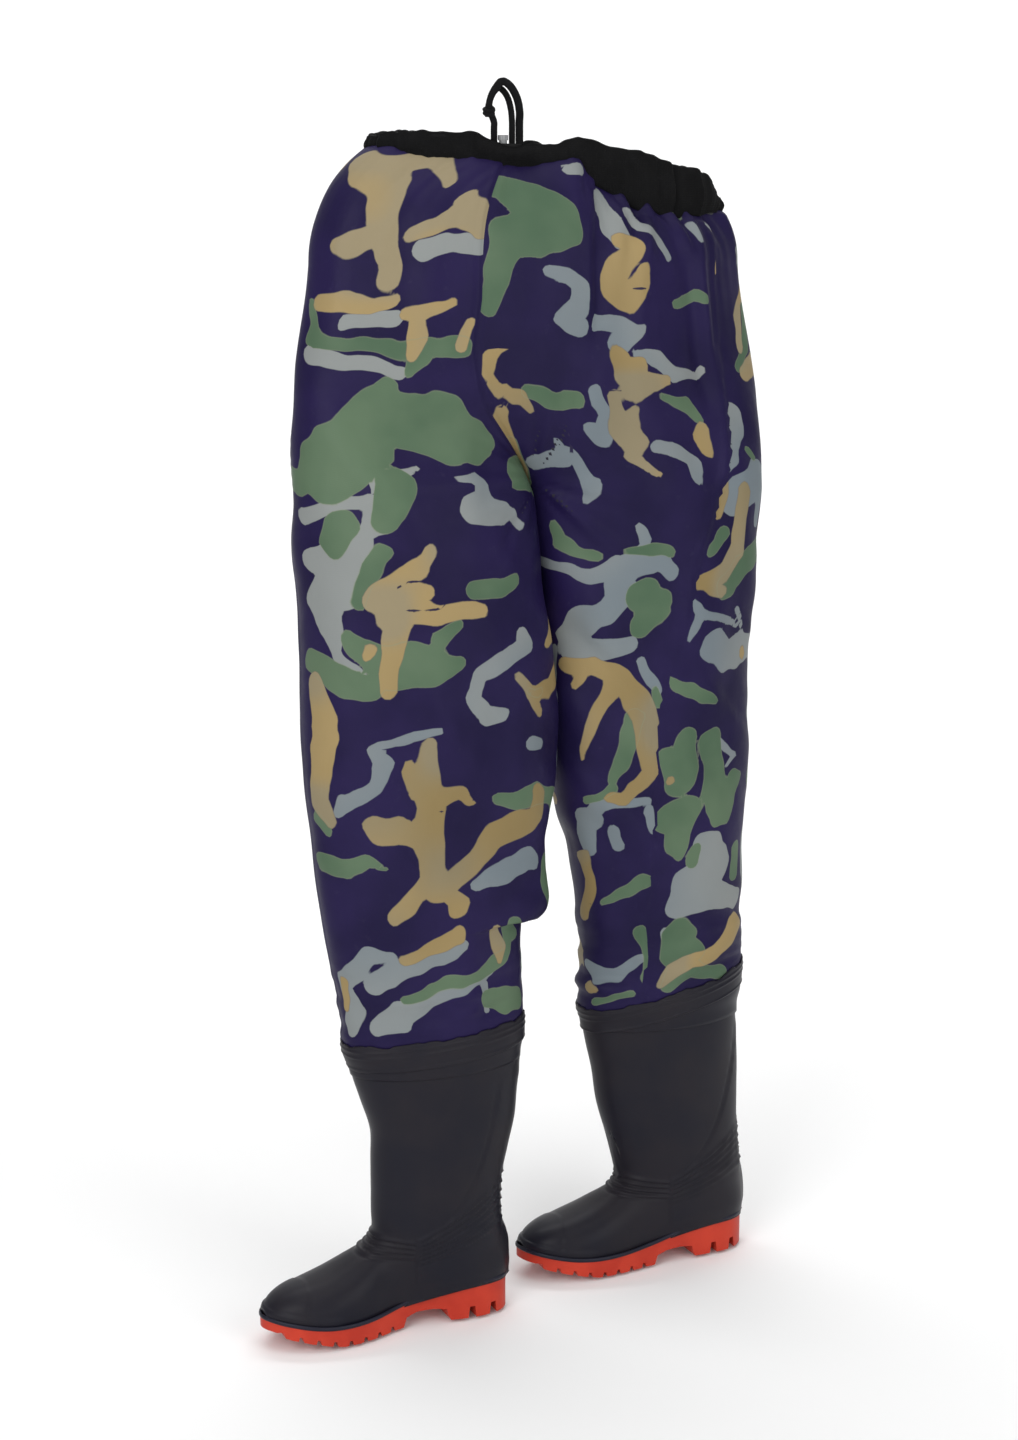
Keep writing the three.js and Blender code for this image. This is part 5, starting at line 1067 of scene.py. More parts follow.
# ---------------------------------------------------------------------- boots
FOOTPRINT = [
    [0, 0], [4, 18], [15, 30], [35, 36], [60, 36], [90, 30], [115, 27], [140, 32], [170, 43], [195, 48], [220, 48],
    [245, 42], [265, 32], [278, 21], [286, 8], [284, -6], [275, -20], [258, -33], [235, -42], [205, -47], [175, -46],
    [140, -41], [110, -38], [80, -37], [50, -37], [25, -33], [8, -20]]
SOLE_TOP = [[-20, 36], [70, 36], [90, 33], [130, 25], [180, 20], [230, 21], [262, 26], [300, 33]]
FOOT_TOP = [[-10, 60], [20, 72], [60, 92], [120, 99], [150, 94], [175, 84], [205, 71], [235, 62], [258, 56], [272, 49], [280, 42], [286, 33], [292, 26]]
BOOTS = {
    "right": dict(heel=-28.0, y=-43.0, medial=-1.0, shaft=[
        [36, -98, -43, 72, 37], [60, -101, -43, 73, 40], [83, -104, -43, 74, 42], [118, -108, -43, 75, 44], [153, -107, -43, 76, 46], [187, -103, -43, 80, 47],
        [221, -99, -43, 84, 49], [256, -103, -42, 91, 50], [283, -106, -42, 97, 51], [310, -108, -42, 101, 52]]),
    "left": dict(heel=302.0, y=5.0, medial=1.0, shaft=[
        [36, 229, 5, 72, 37], [60, 227, 5, 74, 40], [84, 224, 5, 77, 42], [120, 217, 5, 80, 44], [158, 210, 5, 84, 46], [196, 204, 5, 89, 48],
        [233, 201, 5, 92, 49], [271, 196, 5, 96, 51], [310, 192, 5, 99, 52]]),
}


def closed_spline(points, n):
    P = np.array(points, float)
    m = len(P)
    t = np.arange(m)
    out = []
    for u in np.linspace(0, m, n, endpoint=False):
        i = int(u); f = u - i
        a, b, c, d = P[(i - 1) % m], P[i % m], P[(i + 1) % m], P[(i + 2) % m]
        out.append(0.5 * ((2 * b) + (c - a) * f + (2 * a - 5 * b + 4 * c - d) * f * f + (3 * b - a - 3 * c + d) * f**3))
    return np.array(out)


OUTLINE = closed_spline(FOOTPRINT, 400)


def foot_halves(s):
    """inner and outer offsets of the sole outline at distance s from the heel"""
    xs, ys = OUTLINE[:, 0], OUTLINE[:, 1]
    i_toe = int(np.argmax(xs)); i_heel = int(np.argmin(xs))
    a = OUTLINE[i_heel:i_toe + 1] if i_heel < i_toe else np.concatenate([OUTLINE[i_heel:], OUTLINE[:i_toe + 1]])
    b = np.concatenate([OUTLINE[i_toe:], OUTLINE[:i_heel + 1]])[::-1]
    a, b = a[np.argsort(a[:, 0])], b[np.argsort(b[:, 0])]
    return np.interp(s, a[:, 0], a[:, 1]), np.interp(s, b[:, 0], b[:, 1])


def boot_field(B, s, o, z, inset=0.0):
    """implicit surface of the upper: negative inside. s from the heel, o towards the inner side, z height"""
    X = B["heel"] - s
    Y = B["y"] + B["medial"] * o
    zc = np.clip(z, 36, 310)
    c = [smooth_table(B["shaft"], zc, k) for k in (1, 2, 3, 4)]
    f1 = (np.sqrt(((X - c[0]) / (c[2] - inset)) ** 2 + ((Y - c[1]) / (c[3] - inset)) ** 2) - 1) * (c[3] * 0.9)
    m, l = foot_halves(np.clip(s, 1.0, 285.0))
    m, l = m - 2.6 - inset, l + 2.6 + inset
    mid, half = (m + l) / 2, np.maximum((m - l) / 2, 0.5)
    z0 = smooth_table(SOLE_TOP, s)
    z1 = smooth_table(FOOT_TOP, s) - inset
    zm = z0 + (z1 - z0) * 0.25
    vy = np.abs(o - mid) / half
    vz = np.maximum(z - zm, 0) / np.maximum(z1 - zm, 1.0)
    n = 2.3
    f2 = ((vy**n + vz**n) ** (1 / n) - 1) * np.minimum(half, 38)
    ends = np.maximum(s - 283.5 + inset, 1.5 + inset - s)
    f2 = np.maximum(f2, ends)
    k = 16.0
    h = np.clip(0.5 + 0.5 * (f2 - f1) / k, 0, 1)
    return f2 + (f1 - f2) * h - k * h * (1 - h)


def boot_upper(side):
    B = BOOTS[side]
    s_of = lambda X: B["heel"] - X
    rings = []                           # centre (s, z), direction in the s-z plane of the ring's first axis
    O = (172.0, 152.0)                   # the planes fan round this point in front of the ankle
    for z in np.concatenate([np.arange(307.5, 285, -1.5), np.arange(285, 152.5, -2.6)]):
        rings.append((s_of(smooth_table(B["shaft"], z, 1)), z, (1.0, 0.0)))
    c0 = rings[-1][0]
    for i in range(1, 78):
        a = math.radians(90.0 * i / 78)
        d = (O[0] - c0) + (92.0 - (O[0] - c0)) * (i / 78)
        rings.append((O[0] - d * math.cos(a), O[1] - d * math.sin(a), (math.cos(a), math.sin(a))))
    for s in np.arange(172.0, 250.0, 2.4):
        t = (s - 172) / 78
        rings.append((s, 60.0 - 18 * t, (0.0, 1.0)))
    for a in np.linspace(0.05, math.pi / 2 - 0.015, 24):
        rings.append((250 + 32.3 * math.sin(a), 42.0 - 4 * math.sin(a), (0.0, 1.0)))
    NPSI = 132
    psi = np.linspace(0, 2 * np.pi, NPSI, endpoint=False)
    R = len(rings)
    cs = np.array([r[0] for r in rings])[:, None]
    cz = np.array([r[1] for r in rings])[:, None]
    ex = np.array([r[2][0] for r in rings])[:, None]
    ez = np.array([r[2][1] for r in rings])[:, None]
    mc, lc = foot_halves(np.clip(cs, 1, 285))
    co = np.where(cz > 150, 0.0, (mc + lc) / 2 * smooth(150, 80, cz))
    C, Sn = np.cos(psi)[None], np.sin(psi)[None]

    def at(r):
        return cs + ex * C * r, co + Sn * r, cz + ez * C * r
    lo, hi = np.zeros((R, NPSI)), np.full((R, NPSI), 190.0)
    # march outwards to bracket the first crossing, then bisect
    r = np.zeros((R, NPSI)); done = np.zeros((R, NPSI), bool)
    step = 2.0
    for _ in range(95):
        r2 = r + step
        f = boot_field(B, *at(r2))
        newly = (f > 0) & ~done
        lo[newly], hi[newly] = r[newly], r2[newly]
        done |= newly
        r = r2
    for _ in range(22):
        m = (lo + hi) / 2
        f = boot_field(B, *at(m))
        lo, hi = np.where(f > 0, lo, m), np.where(f > 0, m, hi)
    s, o, z = at((lo + hi) / 2)
    P = np.stack([s, o, z], -1)
    # light smoothing along the foot keeps the surface fair
    for _ in range(3):
        Q = P.copy()
        Q[1:-1] = 0.5 * P[1:-1] + 0.25 * (P[:-2] + P[2:])
        P = Q
    N = grid_normals(P, closed=True)
    N *= np.sign(((P - P.mean(1, keepdims=True)) * N).sum())
    s, o, z = P[..., 0], P[..., 1], P[..., 2]
    D = np.zeros(s.shape)
    frontness = np.where(s > 60, 1.0, 0.0)
    K = (118.0 if side == "right" else 112.0, 96.0)     # where the ribs meet, (s, z), on the flank
    # raised flex ribs over the instep
    for i in range(4):
        zi = K[1] + 2 - 6.0 * i + (s - K[0]) * 0.13
        d = (z - zi)
        D += (1.9 * np.exp(-(d / 1.5) ** 2) - 1.3 * np.exp(-((d + 3.0) / 1.3) ** 2)) * smooth(K[0] - 1, K[0] + 3, s) * smooth(0, 8, z - 72)
    # ribs fanning over the heel
    for i in range(6):
        slope = 0.52 - 0.045 * i
        zi = K[1] + 3 - 5.2 * i + (K[0] - s) * slope
        D += (1.7 * np.exp(-((z - zi) / 1.5) ** 2) - 1.2 * np.exp(-((z - zi + 2.8) / 1.3) ** 2)) * (1 - smooth(K[0] - 6, K[0] + 1, s))
    # step at the joint of the two fields and the upright line under it
    D += 1.1 * (1 - smooth(K[0] - 0.8, K[0] + 1.2, s)) * smooth(40, 52, z) * (1 - smooth(K[1] + 2, K[1] + 14, z))
    D -= 1.6 * np.exp(-((s - K[0]) / 1.4) ** 2) * smooth(44, 52, z) * (1 - smooth(K[1] - 22, K[1] - 12, z))
    # heel stay: a raised field behind a line curving up the back of the shaft
    line = 22 + 92 * np.exp(-np.clip(z - 96, 0, None) / 62.0) - 0.055 * np.clip(z - 150, 0, None)
    stay = (1 - smooth(-1.2, 1.2, s - line)) * smooth(92, 104, z) * (1 - smooth(268, 282, z))
    D += 1.0 * stay
    D -= 1.2 * np.exp(-((s - line) / 1.5) ** 2) * smooth(100, 112, z) * (1 - smooth(262, 278, z))
    # toe cap edge and the moulded band above the sole
    zs = smooth_table(SOLE_TOP, s)
    cap = 236 + 14 * ((o - 4) / 44.0) ** 2
    D += 1.1 * smooth(-1.4, 1.4, s - cap) * smooth(0, 10, z - zs)
    D += 1.2 * (1 - smooth(11.5, 13.5, z - zs)) * smooth(200, 215, s) - 0.4 * np.exp(-((z - zs - 13.5) / 1.6) ** 2) * smooth(200, 215, s)
    # collar seat: left plain, nothing is added here
    D += 0.0
    # soft hand-made unevenness
    X = np.stack([s, o, z], -1).reshape(-1, 3)
    D += (0.9 * noise3(X, (55, 55, 70), 51 if side == "right" else 52)).reshape(D.shape) * smooth(120, 170, z)
    P = P + N * D[..., None]
    # flatten under the foot, just inside the sole
    zs = smooth_table(SOLE_TOP, P[..., 0])
    low = P[..., 2] < zs - 1.5
    P[..., 2] = np.where(low, zs - 1.5, P[..., 2])
    W = np.stack([B["heel"] - P[..., 0], B["y"] + B["medial"] * P[..., 1], P[..., 2]], -1)
    # inner wall of the shaft, a little way down, and the toe's closing fan
    inner_rows = 40
    Wc = W[:inner_rows].mean(1, keepdims=True)
    Win = W[:inner_rows] + (Wc - W[:inner_rows]) * np.array([0.045, 0.09, 0])[None, None]
    verts = np.concatenate([W.reshape(-1, 3), Win.reshape(-1, 3), W[-1].mean(0)[None], Win[-1].mean(0)[None]])
    base = R * NPSI
    f = [grid_faces(R, NPSI, closed=True), grid_faces(inner_rows, NPSI, closed=True, flip=True, base=base)]
    i = np.arange(NPSI); i2 = (i + 1) % NPSI
    f.append(np.stack([i2, i, base + i, base + i2], -1))
    tri = [[(R - 1) * NPSI + a, (R - 1) * NPSI + b, len(verts) - 2] for a, b in zip(i, i2)]
    tri += [[base + (inner_rows - 1) * NPSI + b, base + (inner_rows - 1) * NPSI + a, len(verts) - 1] for a, b in zip(i, i2)]
    ob = make_object(f"{side}_moulded_boot", verts, [list(x) for x in np.concatenate(f)] + tri, [MAT["boot"]])
    bm = bmesh.new(); bm.from_mesh(ob.data); bmesh.ops.recalc_face_normals(bm, faces=bm.faces); bm.to_mesh(ob.data); bm.free()
    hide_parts(f"{side}_boot_upper")
    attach(ob, f"{side}_shin")
    return ob


def offset_outline(d, n=400):
    P = OUTLINE
    t = np.roll(P, -1, 0) - np.roll(P, 1, 0)
    t /= np.linalg.norm(t, axis=1, keepdims=True)
    nrm = np.stack([-t[:, 1], t[:, 0]], -1)
    c = P.mean(0)
    if ((P - c) * nrm).sum() < 0:
        nrm = -nrm
    return P + nrm * d


def tread_height(s):
    """lowest point of the sole at distance s from the heel"""
    s = np.asarray(s, float)
    spring = np.maximum(0, (s - 205) * 0.16) ** 1.12
    heel = np.where(s < 77, 0.0, 100.0)
    for a, b in ((21.5, 29.5), (47.5, 55.5)):
        heel = np.where((s > a) & (s < b), 13.0, heel)
    arch = 13.5 + 2.0 * np.sin(np.clip((s - 77) / 50, 0, 1) * np.pi)
    fore = spring.copy()
    for k in range(8):
        a = 145.5 + k * 17.6
        fore = np.where((s > a) & (s < a + 4.6), spring + 5.0, fore)
    out = np.where(s < 77, heel, np.where(s < 131, arch, fore))
    return out


def boot_sole(side):
    B = BOOTS[side]
    # outline of the sole and its outward normals, used by the foxing strip below
    n = 720
    line = closed_spline(FOOTPRINT, n)
    t = np.roll(line, -1, 0) - np.roll(line, 1, 0)
    t /= np.linalg.norm(t, axis=1, keepdims=True)
    nrm = np.stack([-t[:, 1], t[:, 0]], -1)
    if ((line - line.mean(0)) * nrm).sum() < 0:
        nrm = -nrm
    # prism of the outline, cut by the tread profile with an exact boolean
    def prism(outline, z0, z1):
        m = len(outline)
        V = np.concatenate([np.column_stack([B["heel"] - outline[:, 0], B["y"] + B["medial"] * outline[:, 1], np.full(m, z0)]),
                            np.column_stack([B["heel"] - outline[:, 0], B["y"] + B["medial"] * outline[:, 1], np.full(m, z1)])])
        i = np.arange(m); j = (i + 1) % m
        F = [list(i[::-1]), list(i + m)] + [[a, b, b + m, a + m] for a, b in zip(i, j)]
        return V, F
    V, F = prism(offset_outline(0.4)[::2], -3.0, 60.0)
    a = make_object(f"{side}_lugged_outsole", V, F, [MAT["sole"]], smooth_shade=False)
    tread = [[-20, 0], [21, 0], [22.6, 13], [28.6, 13], [30.4, 0], [47, 0], [48.6, 13], [54.6, 13], [56.4, 0], [76, 0], [79, 6], [80.5, 13.2], [96, 15], [114, 14.2], [127, 10.5]]
    spring = lambda s: max(0.0, (s - 205) * 0.16) ** 1.12
    s0 = 131.0
    for k in range(8):
        tread += [[s0, spring(s0)], [s0 + 4, spring(s0 + 4) - 0.4], [s0 + 12.0, spring(s0 + 12)], [s0 + 13.4, spring(s0 + 13.4) + 5.2], [s0 + 16.4, spring(s0 + 16.4) + 5.2]]
        s0 += 17.8
    tread += [[s0 + 2, spring(s0) + 4], [300, 22]]
    top = [[300, 33.0]] + [[s, float(smooth_table(SOLE_TOP, s))] for s in np.arange(290, -20, -8.0)] + [[-20, 36.0]]
    prof = np.array(tread + top, float)
    m = len(prof)
    V = np.concatenate([np.column_stack([B["heel"] - prof[:, 0], np.full(m, B["y"] - 90), prof[:, 1]]), np.column_stack([B["heel"] - prof[:, 0], np.full(m, B["y"] + 90), prof[:, 1]])])
    i = np.arange(m); j = (i + 1) % m
    b = make_object(f"{side}_cutter", V, [list(i), list((i + m)[::-1])] + [[p, p + m, q + m, q] for p, q in zip(i, j)], [MAT["sole"]], smooth_shade=False)
    for ob in (a, b):
        bm = bmesh.new(); bm.from_mesh(ob.data); bmesh.ops.recalc_face_normals(bm, faces=bm.faces); bm.to_mesh(ob.data); bm.free()
    md = a.modifiers.new("cut", "BOOLEAN"); md.operation = "INTERSECT"; md.solver = "EXACT"; md.object = b
    apply_modifiers(a)
    bpy.data.objects.remove(b)
    md = a.modifiers.new("bevel", "BEVEL"); md.width = 0.0011; md.segments = 2; md.limit_method = "ANGLE"; md.angle_limit = math.radians(38)
    md.harden_normals = False
    apply_modifiers(a)
    a.data.polygons.foreach_set("use_smooth", [True] * len(a.data.polygons))
    md = a.modifiers.new("wn", "WEIGHTED_NORMAL"); md.keep_sharp = True
    apply_modifiers(a)
    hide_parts(f"{side}_boot_outsole")
    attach(a, f"{side}_shin")
    # foxing strip: a rounded bead round the joint of sole and upper
    K = 12
    V = []
    for k in range(K):
        ang = 2 * math.pi * k / K
        d, dz = 0.9 + 1.5 * math.cos(ang), 2.4 * math.sin(ang)
        ln = line + nrm * (d - 0.6)
        zt = smooth_table(SOLE_TOP, line[:, 0]) + 2.5 + dz
        V.append(np.column_stack([B["heel"] - ln[:, 0], B["y"] + B["medial"] * ln[:, 1], zt]))
    V = np.array(V)
    F = grid_faces(K, n, closed=True)
    i = np.arange(n); j = (i + 1) % n
    F = np.concatenate([F, np.stack([(K - 1) * n + i, (K - 1) * n + j, j, i], -1)])
    w = make_object(f"{side}_foxing_strip", V.reshape(-1, 3), F, [MAT["welt"]])
    bm = bmesh.new(); bm.from_mesh(w.data); bmesh.ops.recalc_face_normals(bm, faces=bm.faces); bm.to_mesh(w.data); bm.free()
    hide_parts(f"{side}_boot_welt")
    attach(w, f"{side}_shin")


def boot_collar(side):
    """the boot's upper edge welded over the cloth: a sleeve with faint ribs and a ragged edge"""
    B = BOOTS[side]
    N = 420
    th = np.linspace(0, 2 * np.pi, N, endpoint=False)
    T = RIGHT_LEG if side == "right" else LEFT_LEG

    def wall(z, out):
        a = [smooth_table(B["shaft"], np.minimum(z, 310), i) for i in (1, 2, 3, 4)]
        b = [smooth_table(T, np.maximum(z, 300), i) for i in (1, 2, 3, 4)]
        w = smooth(296, 318, z)
        c = [p + (q - p) * w for p, q in zip(a, b)]
        e = 1 + (0.92 - 1) * w
        cs, sn = np.cos(th), np.sin(th)
        return np.stack([c[0] + (c[2] + out) * np.sign(cs) * np.abs(cs) ** e, c[1] + (c[3] + out) * np.sign(sn) * np.abs(sn) ** e, z], -1)

    cx = smooth_table(T, 320.0, 1) + smooth_table(T, 320.0, 3) * np.cos(th)
    he = hem(side, cx)
    zt = he + 1.6 * noise1(th * 60 + 100, 16.0, 61 if side == "right" else 62) + 1.1 * noise1(th * 60, 4.0, 63)
    z0 = he - (30.0 if side == "right" else 28.0)
    rows = 30
    V = []
    for k in range(rows + 1):
        t = k / rows
        z = z0 + (zt - z0) * t
        below = he - z
        rib = sum(0.75 * np.exp(-((below - d) / 1.3) ** 2) for d in (6.0, 12.5, 27.0))
        out = 1.9 + rib - 0.9 * (k == rows)
        V.append(wall(z, out))
    V.append(wall(zt - 0.6, -0.2))
    V.append(wall(z0 + 1.0, -0.6))
    V = np.array(V)
    R = len(V)
    i = np.arange(N); j = (i + 1) % N
    F = np.concatenate([grid_faces(R, N, closed=True), np.stack([(R - 1) * N + i, (R - 1) * N + j, j, i], -1)])
    ob = make_object(f"{side}_weld_collar", V.reshape(-1, 3), F, [MAT["boot"]])
    bm = bmesh.new(); bm.from_mesh(ob.data); bmesh.ops.recalc_face_normals(bm, faces=bm.faces); bm.to_mesh(ob.data); bm.free()
    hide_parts(f"{side}_boot_collar")
    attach(ob, f"{side}_shin")
    # sleeve of the shaft between the moulded top and the slanted edge
    V = []
    for k in range(13):
        z = 288.0 + (he - 4.0 - 288.0) * k / 12
        V.append(wall(z, 1.0))
    for k in range(13):
        z = 288.0 + (he - 4.0 - 288.0) * (1 - k / 12)
        V.append(wall(z, 0.2))
    V = np.array(V)
    R = len(V)
    F = np.concatenate([grid_faces(R, N, closed=True), np.stack([(R - 1) * N + i, (R - 1) * N + j, j, i], -1)])
    ob = make_object(f"{side}_shaft_sleeve", V.reshape(-1, 3), F, [MAT["boot"]])
    bm = bmesh.new(); bm.from_mesh(ob.data); bmesh.ops.recalc_face_normals(bm, faces=bm.faces); bm.to_mesh(ob.data); bm.free()
    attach(ob, f"{side}_shin")


for s in ("right", "left"):
    boot_upper(s)
    boot_sole(s)
    boot_collar(s)

# ---------------------------------------------------------------------- cords
def spline(points, per=10):
    P = np.array(points, float)
    P = np.concatenate([2 * P[:1] - P[1:2], P, 2 * P[-1:] - P[-2:-1]])
    out = []
    for i in range(1, len(P) - 2):
        a, b, c, d = P[i - 1], P[i], P[i + 1], P[i + 2]
        for k in range(per):
            f = k / per
            out.append(0.5 * ((2 * b) + (c - a) * f + (2 * a - 5 * b + 4 * c - d) * f * f + (3 * b - a - 3 * c + d) * f**3))
    out.append(P[-2])
    out = np.array(out)
    s = np.concatenate([[0], np.cumsum(np.linalg.norm(np.diff(out, axis=0), axis=1))])
    n = max(8, int(s[-1] / 0.9))
    u = np.linspace(0, s[-1], n)
    return np.stack([np.interp(u, s, out[:, k]) for k in range(3)], -1), u


def tube(name, points, radius, mat, lobes=2, pitch=9.0, amp=0.10, seg=24):
    """closed mesh tube along the points, with the raised lay of a twisted cord"""
    P, u = spline(points)
    r = radius(u) if callable(radius) else np.full(len(u), float(radius))
    t = np.gradient(P, axis=0)
    t /= np.linalg.norm(t, axis=1, keepdims=True)
    ref = np.array([0.0, 1.0, 0.0])
    n1 = np.cross(t, ref)
    n1 /= np.linalg.norm(n1, axis=1, keepdims=True)
    n2 = np.cross(t, n1)
    th = np.linspace(0, 2 * np.pi, seg, endpoint=False)
    wave = np.abs(np.cos(lobes * (th[None] + u[:, None] / pitch * np.pi))) + np.abs(np.cos(lobes * (th[None] - u[:, None] / pitch * np.pi)))
    rr = r[:, None] * (1 - amp + amp * 0.62 * wave)
    V = P[:, None] + rr[..., None] * (np.cos(th)[None, :, None] * n1[:, None] + np.sin(th)[None, :, None] * n2[:, None])
    m = len(P)
    verts = np.concatenate([V.reshape(-1, 3), P[:1], P[-1:]])
    f = [list(x) for x in grid_faces(m, seg, closed=True)]
    i = np.arange(seg); j = (i + 1) % seg
    f += [[int(a), int(b), m * seg] for a, b in zip(j, i)]
    f += [[(m - 1) * seg + int(a), (m - 1) * seg + int(b), m * seg + 1] for a, b in zip(i, j)]
    ob = make_object(name, verts, f, [mat])
    bm = bmesh.new(); bm.from_mesh(ob.data); bmesh.ops.recalc_face_normals(bm, faces=bm.faces); bm.to_mesh(ob.data); bm.free()
    return ob, P


LX, YC = (-45.5, -25.4, -17.1), -64.6
LOOP_PATH = [[LX[0], YC, 1256.2], [LX[0], YC, 1274], [LX[0], YC, 1286], [LX[0], YC, 1293], [-48.6, YC - 0.5, 1300], [-51.5, YC - 1, 1308], [-49.5, YC - 1.5, 1318],
             [-44, YC - 2, 1327], [-37, YC - 2, 1333.2], [-28, YC - 2, 1328.5], [-20.5, YC - 1.5, 1317], [-17.3, YC - 1, 1304],
             [LX[2], YC, 1293], [LX[2], YC, 1286], [LX[2], YC, 1274], [LX[2], YC, 1256.2]]
SECOND_PATH = [[LX[1], YC, 1256.2], [LX[1], YC, 1274], [LX[1], YC, 1286], [LX[1], YC, 1293], [-25.8, YC + 1.6, 1305], [-27.5, YC + 4.5, 1316], [-31.5, YC + 6.2, 1323.5],
               [-37.5, YC + 6.6, 1327], [-44, YC + 6.9, 1321], [-48.6, YC + 7.3, 1309], [-48.6, YC + 7.6, 1298]]
thick = lambda u: 3.5 + 0.6 * smooth(60, 80, u)
loop_cord, loop_line = tube("hanging_loop_cord", LOOP_PATH, thick, MAT["cord"])
knot_line = []
for k in range(34):
    a = 2 * math.pi * k / 15.0
    f = k / 33.0
    knot_line.append([-50.2 + 4.3 * math.cos(a) - 0.8 * math.sin(math.pi * f), YC + 1.0 + 6.0 * math.sin(a), 1299.0 + 8.0 * f + 2.5 * math.sin(a)])
knot, _ = tube("hanging_loop_knot", knot_line, 2.0, MAT["cord"], pitch=7.0)
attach(knot, "waist")
second_cord, second_line = tube("second_strand_cord", SECOND_PATH, 3.3, MAT["cord"])
for ob, line, node_name, far, extra in ((loop_cord, loop_line, "drawcord_loop", "object", []), (second_cord, second_line, "drawcord_second_strand", "knot", [knot])):
    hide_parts(node_name)
    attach(ob, "waist")
    L = float(np.linalg.norm(np.diff(line, axis=0), axis=1).sum()) / 1000.0
    print("CORD", ob.name, round(L, 4))

# ----------------------------------------------------- seam tapes on the inside
def inner_tape(name, body, strips):
    """thin welded tape following the inside of the cloth; strips is [(side, first col, last col, first row, last row)]"""
    verts, faces, base = [], [], 0
    for side, c0, c1, r0, r1 in strips:
        L = LEG[side]
        cols = np.arange(c0, c1 + 1) % (COLS + 1) if c0 >= 0 else np.arange(c0, c1 + 1)
        Q, NN = L["Q"][r0:r1 + 1][:, cols], L["QN"][r0:r1 + 1][:, cols]
        nr, nc = Q.shape[:2]
        a, b = Q - NN * 1.35, Q - NN * 1.85
        verts += [a.reshape(-1, 3), b.reshape(-1, 3)]
        flip = side == "right"
        faces += [grid_faces(nr, nc, flip=flip, base=base), grid_faces(nr, nc, flip=not flip, base=base + nr * nc)]
        for seq in (np.arange(nc), (nr - 1) * nc + np.arange(nc), np.arange(nr) * nc, np.arange(nr) * nc + nc - 1):
            s0, s1 = base + seq[:-1], base + seq[1:]
            faces.append(np.stack([s0, s1, s1 + nr * nc, s0 + nr * nc], -1))
        base += 2 * nr * nc
    ob = make_object(name + "_strip", np.concatenate(verts), np.concatenate(faces), [MAT["tape"]])
    bm = bmesh.new(); bm.from_mesh(ob.data); bmesh.ops.remove_doubles(bm, verts=bm.verts, dist=0.00005); bmesh.ops.recalc_face_normals(bm, faces=bm.faces); bm.to_mesh(ob.data); bm.free()
    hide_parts(name)
    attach(ob, body)
    return ob


top_row = 3
inner_tape("front_rise_seam_tape", "waist", [("right", COLS - 3, COLS, top_row, seat_end["right"] - 2), ("left", COLS - 3, COLS, top_row, seat_end["left"] - 2)])
inner_tape("back_rise_seam_tape", "waist", [("right", 0, 3, top_row, seat_end["right"] - 2), ("left", 0, 3, top_row, seat_end["left"] - 2)])
col_at = lambda side, z, ph: int(np.argmin(np.abs(LEG[side]["PH"][row_at(side, z)] - ph)))
cR, cL = col_at("right", 1000, RIGHT_SEAM_PHI), col_at("left", 1000, 0.655)
inner_tape("right_hip_seam_tape", "waist", [("right", cR - 2, cR + 2, top_row, seat_end["right"] - 2)])
inner_tape("left_hip_seam_tape", "waist", [("left", cL - 2, cL + 2, top_row, seat_end["left"] - 2)])
for s in ("right", "left"):
    r0, r1 = row_at(s, 728), row_at(s, 551)
    co = col_at(s, 640, RIGHT_SEAM_PHI if s == "right" else 0.77)
    inner_tape(f"{s}_outer_seam_tape", f"{s}_thigh", [(s, co - 2, co + 2, r0, r1)])
    inner_tape(f"{s}_inner_seam_tape", f"{s}_thigh", [(s, 0, 3, r0, r1), (s, COLS - 3, COLS, r0, r1)])

# ------------------------------------------------- carried-over CAD materials
for name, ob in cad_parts.items():
    key = ("tape" if "tape" in name else "elastic" if name == "waist_elastic" else "cord" if "drawcord" in name else
           "metal" if ("eyelet" in name or "spring" in name) else "lock" if name == "cord_lock_casing" else "button" if name == "cord_lock_plunger" else
           "lining" if ("lining" in name or "insole" in name) else "boot")
    for sl in ob.material_slots:
        sl.material = MAT[key]
    if not ob.material_slots:
        ob.data.materials.append(MAT[key])

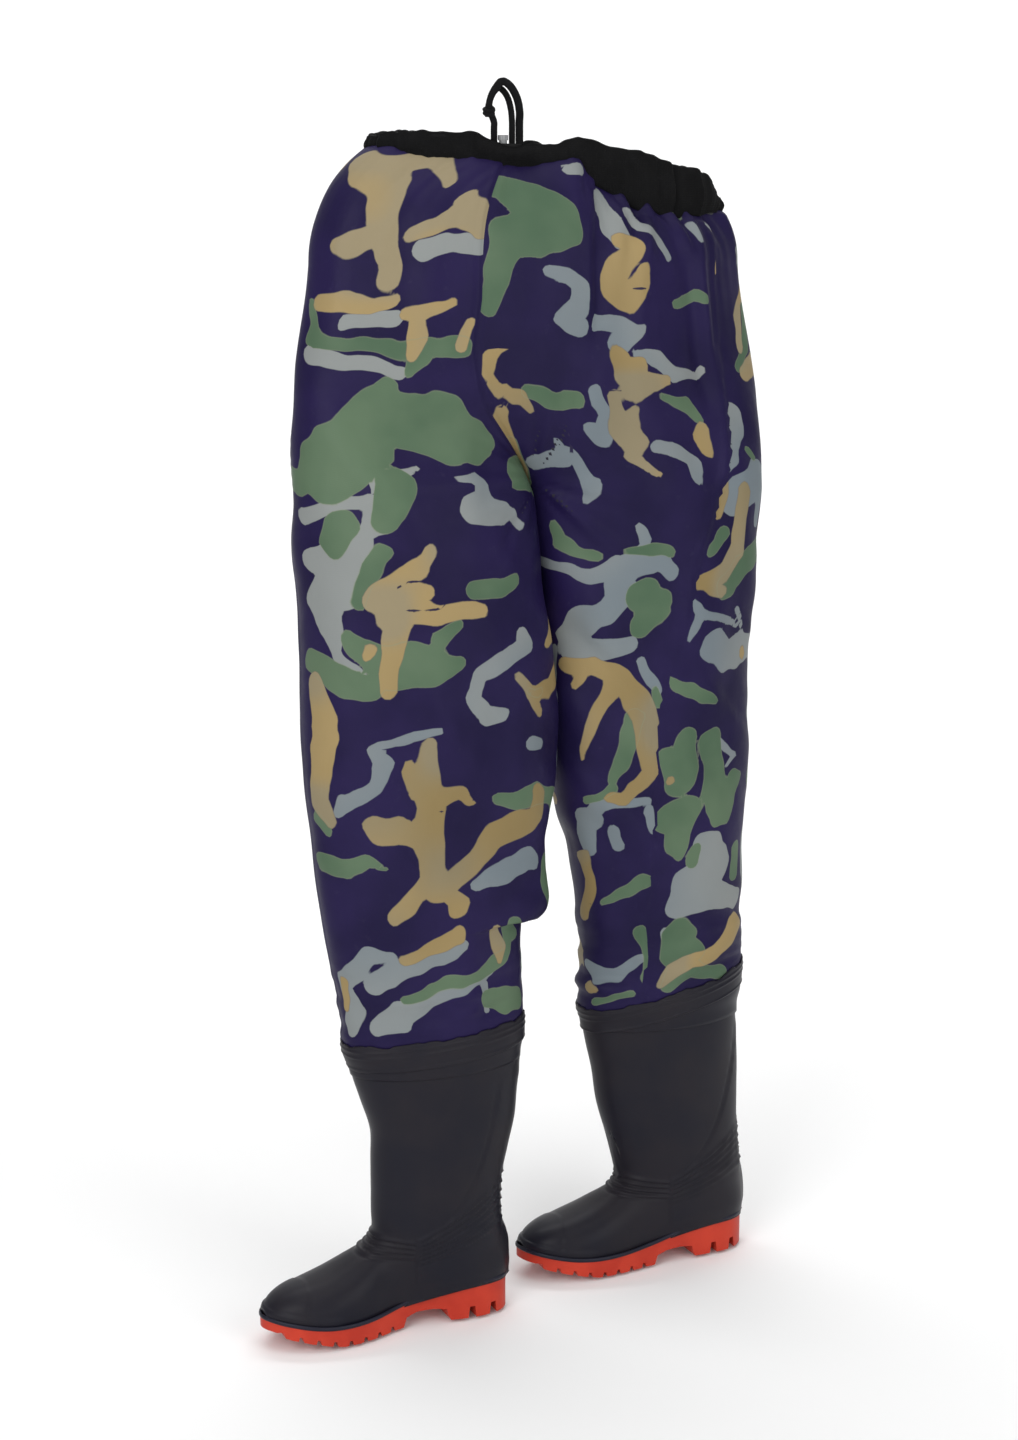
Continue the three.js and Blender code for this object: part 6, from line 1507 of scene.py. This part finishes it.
# ------------------------------------------------------------ floor and light
def stage():
    floor_z = float(M([0, 0, 0])[2]) - 0.004
    R, rows = 14.0, 40
    prof = [(-R, 0.0), (2.6, 0.0)]
    for k in range(1, 13):
        a = math.pi / 2 * k / 12
        prof.append((2.6 + 1.8 * math.sin(a), 1.8 * (1 - math.cos(a))))
    prof.append((4.4, 9.0))
    c, s = math.cos(AZ), math.sin(AZ)
    V, F = [], []
    for v, z in prof:
        for u in (-R, R):
            V.append((c * u + s * v, -s * u + c * v, floor_z + z))
    for i in range(len(prof) - 1):
        F.append([2 * i, 2 * i + 1, 2 * i + 3, 2 * i + 2])
    me = bpy.data.meshes.new("pale_floor")
    me.from_pydata(V, [], F)
    me.polygons.foreach_set("use_smooth", [True] * len(F))
    ob = bpy.data.objects.new("pale_floor", me)
    bpy.context.scene.collection.objects.link(ob)
    m, nt, b = material("pale_floor")
    b.inputs["Base Color"].default_value = (0.93, 0.93, 0.93, 1)
    b.inputs["Roughness"].default_value = 0.9
    b.inputs["Specular IOR Level"].default_value = 0.1
    me.materials.append(m)
    ob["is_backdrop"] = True


stage()
world = bpy.data.worlds.new("studio")
bpy.context.scene.world = world
world.use_nodes = True
bg = world.node_tree.nodes["Background"]
bg.inputs[0].default_value = (1.0, 1.0, 1.0, 1)
bg.inputs[1].default_value = 0.42


def area_light(name, u, v, z, target, size, power, colour=(1, 1, 1)):
    c, s = math.cos(AZ), math.sin(AZ)
    d = bpy.data.lights.new(name, "AREA")
    d.shape = "RECTANGLE"
    d.size, d.size_y = size
    d.energy = power
    d.color = colour
    o = bpy.data.objects.new(name, d)
    bpy.context.scene.collection.objects.link(o)
    o.location = Vector((c * u + s * v, -s * u + c * v, z))
    tu, tv, tz = target
    tgt = Vector((c * tu + s * tv, -s * tu + c * tv, tz))
    o.rotation_mode = "QUATERNION"
    o.rotation_quaternion = (tgt - o.location).to_track_quat("-Z", "Y")


area_light("key", -1.3, -2.6, 0.6, (0, 0, -0.6), (1.6, 2.4), 46)
area_light("fill", 1.9, -1.9, 0.1, (0, 0, -0.7), (1.4, 2.2), 22)
area_light("top", 0.0, -0.4, 1.9, (0, 0, -0.6), (2.6, 1.8), 22)
area_light("low_front", 0.1, -2.6, -1.1, (0, 0, -1.0), (2.2, 0.6), 6)
area_light("back_wash", 0.0, 1.6, 1.8, (0, 3.2, -0.6), (3.4, 1.0), 70)

bpy.context.scene.view_settings.view_transform = "Standard"
bpy.context.scene.view_settings.look = "None"

lo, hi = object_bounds()
